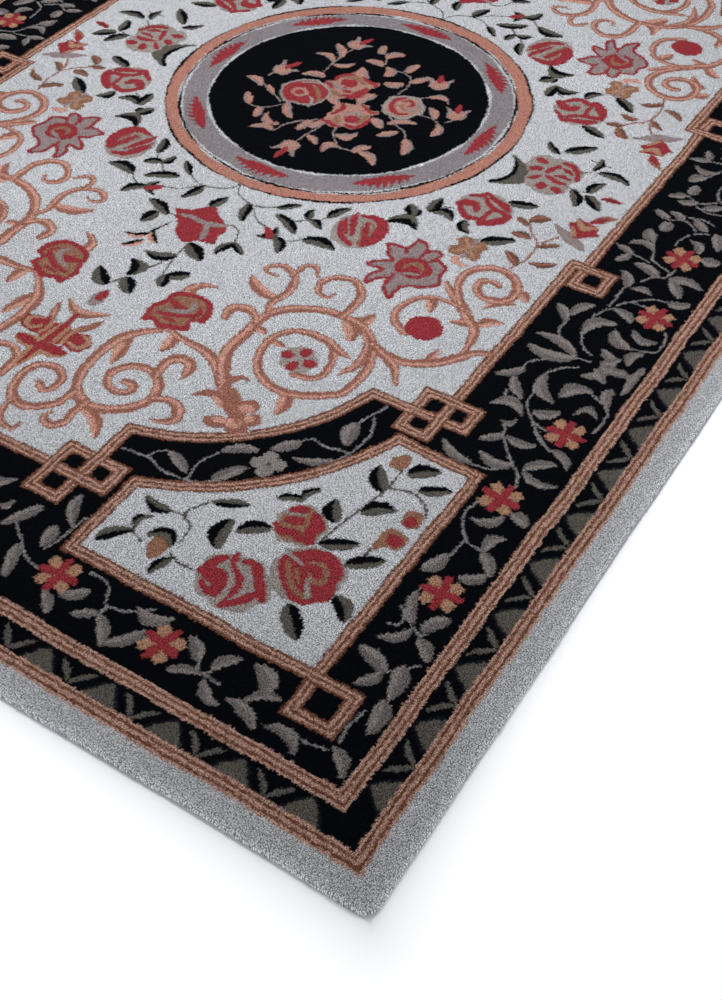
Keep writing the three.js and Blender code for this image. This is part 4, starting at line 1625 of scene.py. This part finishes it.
def floor_material():
    """Plain pale floor, which glows evenly white away from the rug. Near the rug the glow is lowered,
    a painted soft shadow where the pile takes its light: the glow grows with a power of the distance
    from the rug's edge."""
    material, tree, shader = cloth_material("floor_paint", 0.8)
    shader.inputs["Base Color"].default_value = FLOOR_COLOUR
    shader.inputs["Emission Color"].default_value = (1.0, 1.0, 1.0, 1.0)
    corner = ((HALF_WIDTH + SPLAY) * MM, (HALF_LENGTH + SPLAY) * MM, 1.0)
    place = node(tree, "ShaderNodeTexCoord").outputs["Object"]
    place = reworked(tree, "ABSOLUTE", place).outputs["Vector"]
    place = reworked(tree, "SUBTRACT", place, i1=corner).outputs["Vector"]
    place = reworked(tree, "MAXIMUM", place, i1=(0.0, 0.0, 0.0)).outputs["Vector"]
    away = reworked(tree, "LENGTH", place).outputs["Value"]
    # Painted shadow: the glow is lowest at the rug's edge and rises away from it
    eased = combined(tree, "POWER", ranged(tree, away, 0.0, PAINTED_SHADOW_REACH, 0.0, 1.0), PAINTED_SHADOW_EASE)
    glow = combined(tree, "MULTIPLY", eased, FLOOR_GLOW)
    tree.links.new(glow, shader.inputs["Emission Strength"])
    return material


# The settings that a user would change


def linear(level):
    """A picture value from 0 to 255 as linear light."""
    share = level / 255
    return share / 12.92 if share <= 0.04045 else ((share + 0.055) / 1.055) ** 2.4


def dyed(name, red, green, blue):
    """A colour setting for one yarn, with its default given as picture values."""
    return bpy.props.FloatVectorProperty(
        name=name, description=f"Colour of the {name.lower()} yarn", subtype="COLOR", size=3, min=0, max=1,
        default=[linear(level) for level in (red, green, blue)])


class RugYarns(bpy.types.PropertyGroup):
    """The dyed yarns of the pile."""

    edge: dyed("Edge", 182, 183, 187)
    black: dyed("Black", 6, 8, 13)
    navy: dyed("Navy", 24, 27, 34)
    ivory: dyed("Ivory", 192, 194, 199)
    rust: dyed("Rust", 150, 101, 88)
    peach: dyed("Peach", 197, 147, 132)
    gold: dyed("Gold", 168, 128, 104)
    brown: dyed("Brown", 118, 78, 62)
    red: dyed("Red", 146, 52, 59)
    wine: dyed("Wine", 122, 40, 48)
    taupe: dyed("Taupe", 110, 104, 103)
    olive: dyed("Olive", 90, 86, 80)
    grey: dyed("Grey", 144, 129, 129)
    stem: dyed("Stem", 134, 131, 131)
    mauve: dyed("Mauve", 134, 127, 131)
    white: dyed("White", 192, 194, 198)
    fern: dyed("Fern", 94, 90, 86)
    leaf: dyed("Leaf", 134, 127, 125)
    ash: dyed("Ash", 152, 142, 138)
    ochre: dyed("Ochre", 144, 104, 84)
    salmon: dyed("Salmon", 188, 149, 134)
    copper: dyed("Copper", 174, 122, 108)
    coral: dyed("Coral", 171, 129, 117)


class RugSizes(bpy.types.PropertyGroup):
    """Sizes of the rug's parts."""

    chart_cell: bpy.props.FloatProperty(
        name="Chart cell", description="Side of one cell of the chart of the design", default=0.001,
        min=0.0005, unit="LENGTH", precision=4)
    tuft_jitter: bpy.props.FloatProperty(
        name="Tuft jitter", description="How far a tuft may stand out of line", default=0.00045, min=0,
        unit="LENGTH", precision=5)
    tuft_rise: bpy.props.FloatProperty(
        name="Tuft rise", description="How uneven the tufts' height is", default=0.00030, min=0,
        unit="LENGTH", precision=5)
    speckle: bpy.props.FloatProperty(
        name="Speckle", description="How unlike in lightness the tufts of one yarn are", default=0.075,
        min=0, subtype="FACTOR")


def palette_of(settings):
    """The yarn colours as rows of linear light, in the order of the yarn numbers."""
    return np.array([getattr(settings.yarns, name)[:] for name in RugYarns.__annotations__])


class RugSettings(bpy.types.PropertyGroup):
    """All the settings of the rug."""

    sizes: bpy.props.PointerProperty(type=RugSizes)
    yarns: bpy.props.PointerProperty(type=RugYarns)


def design(context):
    """The painted chart and its grooves, which are made once."""
    if not design.made:
        chart = paint_design(context.scene.rug.sizes.chart_cell / MM)
        design.made = (chart, groove_map(chart))
    return design.made


design.made = None


# The operators


class RUG_OT_backing(bpy.types.Operator):
    """Adds the canvas backing under the pile"""

    bl_idname = "rug.backing"
    bl_label = "Backing"

    def execute(self, context):
        turn = np.linspace(0, math.pi / 2, FAN_STEPS + 1)
        corners = []
        for quarter, (sx, sy) in enumerate(((1, -1), (1, 1), (-1, 1), (-1, -1))):
            angle = turn + (quarter - 1) * math.pi / 2
            corners.append(np.stack([
                sx * (HALF_WIDTH - BACKING_INSET - BACKING_CORNER) + BACKING_CORNER * np.cos(angle),
                sy * (HALF_LENGTH - BACKING_INSET - BACKING_CORNER) + BACKING_CORNER * np.sin(angle)], -1))
        outline = np.vstack(corners)
        count = len(outline)
        points = np.vstack([np.c_[outline, np.full(count, z)] for z in (0.0, BACKING)])
        ring = np.arange(count)
        ahead = (ring + 1) % count
        faces = [list(ring[::-1]), list(ring + count)]
        faces += np.stack([ring, ahead, ahead + count, ring + count], -1).tolist()
        obj = add_piece("backing", points, faces, backing_material())
        on_rug(obj)
        return {"FINISHED"}


class RUG_OT_pile(bpy.types.Operator):
    """Adds the pile's top in six tiles, with the design in it"""

    bl_idname = "rug.pile"
    bl_label = "Pile"

    def execute(self, context):
        settings = context.scene.rug
        chart, groove = design(context)
        surface = pile_surface(chart, groove, settings.sizes)
        normals = surface_normals(surface)
        x, y = tuft_grid()
        left, low = x[:-1, :-1], y[:-1, :-1]
        width, depth = x[0, 1] - x[0, 0], y[1, 0] - y[0, 0]
        # Each face takes four colours, from the middles of its quarters
        quarters = ((0.25, 0.25), (0.75, 0.25), (0.75, 0.75), (0.25, 0.75))
        sx = np.stack([left + a * width for a, _ in quarters], -1)
        sy = np.stack([low + b * depth for _, b in quarters], -1)
        rgb = colours(chart, groove, palette_of(settings), sx, sy, PILE_YARN_SEED, settings.sizes.speckle)
        cols, rows = TUFTS[0] // TILES[0], TUFTS[1] // TILES[1]
        corner = np.arange((rows + 1) * (cols + 1)).reshape(rows + 1, cols + 1)
        faces = np.stack([corner[:-1, :-1], corner[:-1, 1:], corner[1:, 1:], corner[1:, :-1]], -1)
        faces = faces.reshape(-1, 4)
        flat = np.stack([corner % (cols + 1) / cols, corner // (cols + 1) / rows], -1).reshape(-1, 2)
        for j, i in np.ndindex(TILES[1], TILES[0]):
            top = np.s_[j * rows:(j + 1) * rows + 1, i * cols:(i + 1) * cols + 1]
            cells = np.s_[j * rows:(j + 1) * rows, i * cols:(i + 1) * cols]
            obj = add_piece(f"pile_{j}{i}", surface[top], faces, pile_material())
            paint_corners(obj, rgb[cells])
            unwrap(obj, flat[faces.ravel()] * PICTURE + MARGIN)
            obj.data.normals_split_custom_set_from_vertices(normals[top].reshape(-1, 3))
            on_rug(obj)
        return {"FINISHED"}


class RUG_OT_rim(bpy.types.Operator):
    """Adds the pile's rim, which rounds over the edge down to the floor"""

    bl_idname = "rug.rim"
    bl_label = "Rim"

    def execute(self, context):
        settings = context.scene.rug
        chart, groove = design(context)
        surface = pile_surface(chart, groove, settings.sizes)
        start, base, out, wave, lane, run = rim_start(surface)
        rings, spots, lights = rim_rings(start, base, out, wave)
        depth, count = rings.shape[:2]
        points = rings.reshape(-1, 3)
        ahead = (np.arange(count) + 1) % count
        index = np.arange(depth * count).reshape(depth, count)
        faces = banded(index, ahead)
        # A fan's faces are triangles, because its first ring is one point
        keep = np.ones(faces.shape, bool)
        keep[np.linalg.norm(points[faces[:, 0]] - points[faces[:, 3]], axis=1) < SAME, 3] = False
        first = np.arange(count)
        for i in np.flatnonzero(np.linalg.norm(start - np.roll(start, 1, axis=0), axis=1) < SAME):
            first[i] = first[i - 1]
        index[0] = first
        faces = [row[kept].tolist() for row, kept in zip(index.ravel()[faces], keep)]
        obj = add_piece("rim", points, faces, pile_material())
        places = banded(spots, ahead)[keep]
        rgb = colours(chart, groove, palette_of(settings), places[:, 0], places[:, 1], RIM_YARN_SEED,
                      settings.sizes.speckle)
        # The painted highlight on the rim's outer rings, where the rounded edge catches the light
        rgb *= banded(np.broadcast_to(lights[:, None], (depth, count)), ahead)[keep][:, None]
        paint_corners(obj, rgb)
        unwrap(obj, rim_picture(lane, run, ahead, depth)[keep])
        obj.data.shade_smooth()
        on_rug(obj)
        return {"FINISHED"}


# The floor: its colour, and in mm how far it reaches and how far it lies under the rug
FLOOR_COLOUR = (0.84, 0.855, 0.89, 1.0)
FLOOR_REACH = 9000.0
FLOOR_DROP = 0.4
# How many metres from the rug the floor is still in its painted soft shadow, the power that eases
# that shadow, and the glow past it
PAINTED_SHADOW_REACH = 0.075
PAINTED_SHADOW_EASE = 0.3
FLOOR_GLOW = 0.50
# The light, and the camera where the photo was taken from, in metres, watts and degrees. The lens
# and its sensor are in mm.
ROOM_LIGHT = 0.5
LAMP_PLACE = (-0.1, 0.0, 4.0)
LAMP_POWER = 540.0
LAMP_CONE = 54.0
LAMP_RADIUS = 0.6
CAMERA_PLACE = (1.2641, -1.9325, 1.3788)
CAMERA_DOWN, CAMERA_TURN = 47.3059, 32.6345
SENSOR_WIDTH, LENS_LENGTH = 36.0, 67.38


def add_floor():
    """The floor, a little under the rug. It is given in millimetres, as all meshes are."""
    far, low = FLOOR_REACH, -FLOOR_DROP
    corners = [(-far, -far, low), (far, -far, low), (far, far, low), (-far, far, low)]
    add_piece("floor", corners, [(0, 1, 2, 3)], floor_material())


def add_light(scene):
    """White light from all round, and one soft lamp over the rug that fades towards its ends."""
    world = bpy.data.worlds.new("studio")
    world.use_nodes = True
    background = world.node_tree.nodes["Background"]
    background.inputs["Color"].default_value = (1.0, 1.0, 1.0, 1.0)
    background.inputs["Strength"].default_value = ROOM_LIGHT
    scene.world = world
    light = bpy.data.lights.new("softbox", "SPOT")
    light.spot_size = math.radians(LAMP_CONE)
    light.spot_blend = 1.0
    light.shadow_soft_size = LAMP_RADIUS
    light.energy = LAMP_POWER
    lamp = bpy.data.objects.new("softbox", light)
    lamp.location = LAMP_PLACE
    scene.collection.objects.link(lamp)


def add_camera(scene):
    """The camera, looking down at the near right corner."""
    lens = bpy.data.cameras.new("camera")
    lens.sensor_fit, lens.sensor_width, lens.lens = "HORIZONTAL", SENSOR_WIDTH, LENS_LENGTH
    camera = bpy.data.objects.new("camera", lens)
    camera.location = CAMERA_PLACE
    camera.rotation_euler = (math.radians(90 - CAMERA_DOWN), 0.0, math.radians(CAMERA_TURN))
    scene.collection.objects.link(camera)
    scene.camera = camera


class RUG_OT_stage(bpy.types.Operator):
    """Adds the floor, the light and the camera"""

    bl_idname = "rug.stage"
    bl_label = "Stage"

    def execute(self, context):
        context.scene.view_settings.view_transform = "Standard"
        add_floor()
        add_light(context.scene)
        add_camera(context.scene)
        return {"FINISHED"}


class RUG_PT_panel(bpy.types.Panel):
    """The rug's operators and settings"""

    bl_label = "Tufted Wool Rug"
    bl_idname = "RUG_PT_panel"
    bl_space_type = "VIEW_3D"
    bl_region_type = "UI"
    bl_category = "Rug"

    def draw(self, context):
        settings = context.scene.rug
        for operator in OPERATORS:
            self.layout.operator(operator.bl_idname)
        for group in (settings.sizes, settings.yarns):
            for name in group.__annotations__:
                self.layout.prop(group, name)


OPERATORS = (RUG_OT_backing, RUG_OT_pile, RUG_OT_rim, RUG_OT_stage)
CLASSES = (RugYarns, RugSizes, RugSettings) + OPERATORS + (RUG_PT_panel,)


def register():
    """Registers the classes and hangs the settings on the scene."""
    for cls in CLASSES:
        bpy.utils.register_class(cls)
    bpy.types.Scene.rug = bpy.props.PointerProperty(type=RugSettings)


def unregister():
    """Takes back what register did."""
    del bpy.types.Scene.rug
    for cls in reversed(CLASSES):
        bpy.utils.unregister_class(cls)


def main():
    register()
    bpy.ops.rug.backing()
    bpy.ops.rug.pile()
    bpy.ops.rug.rim()
    bpy.ops.rug.stage()


if __name__ == "__main__":
    main()
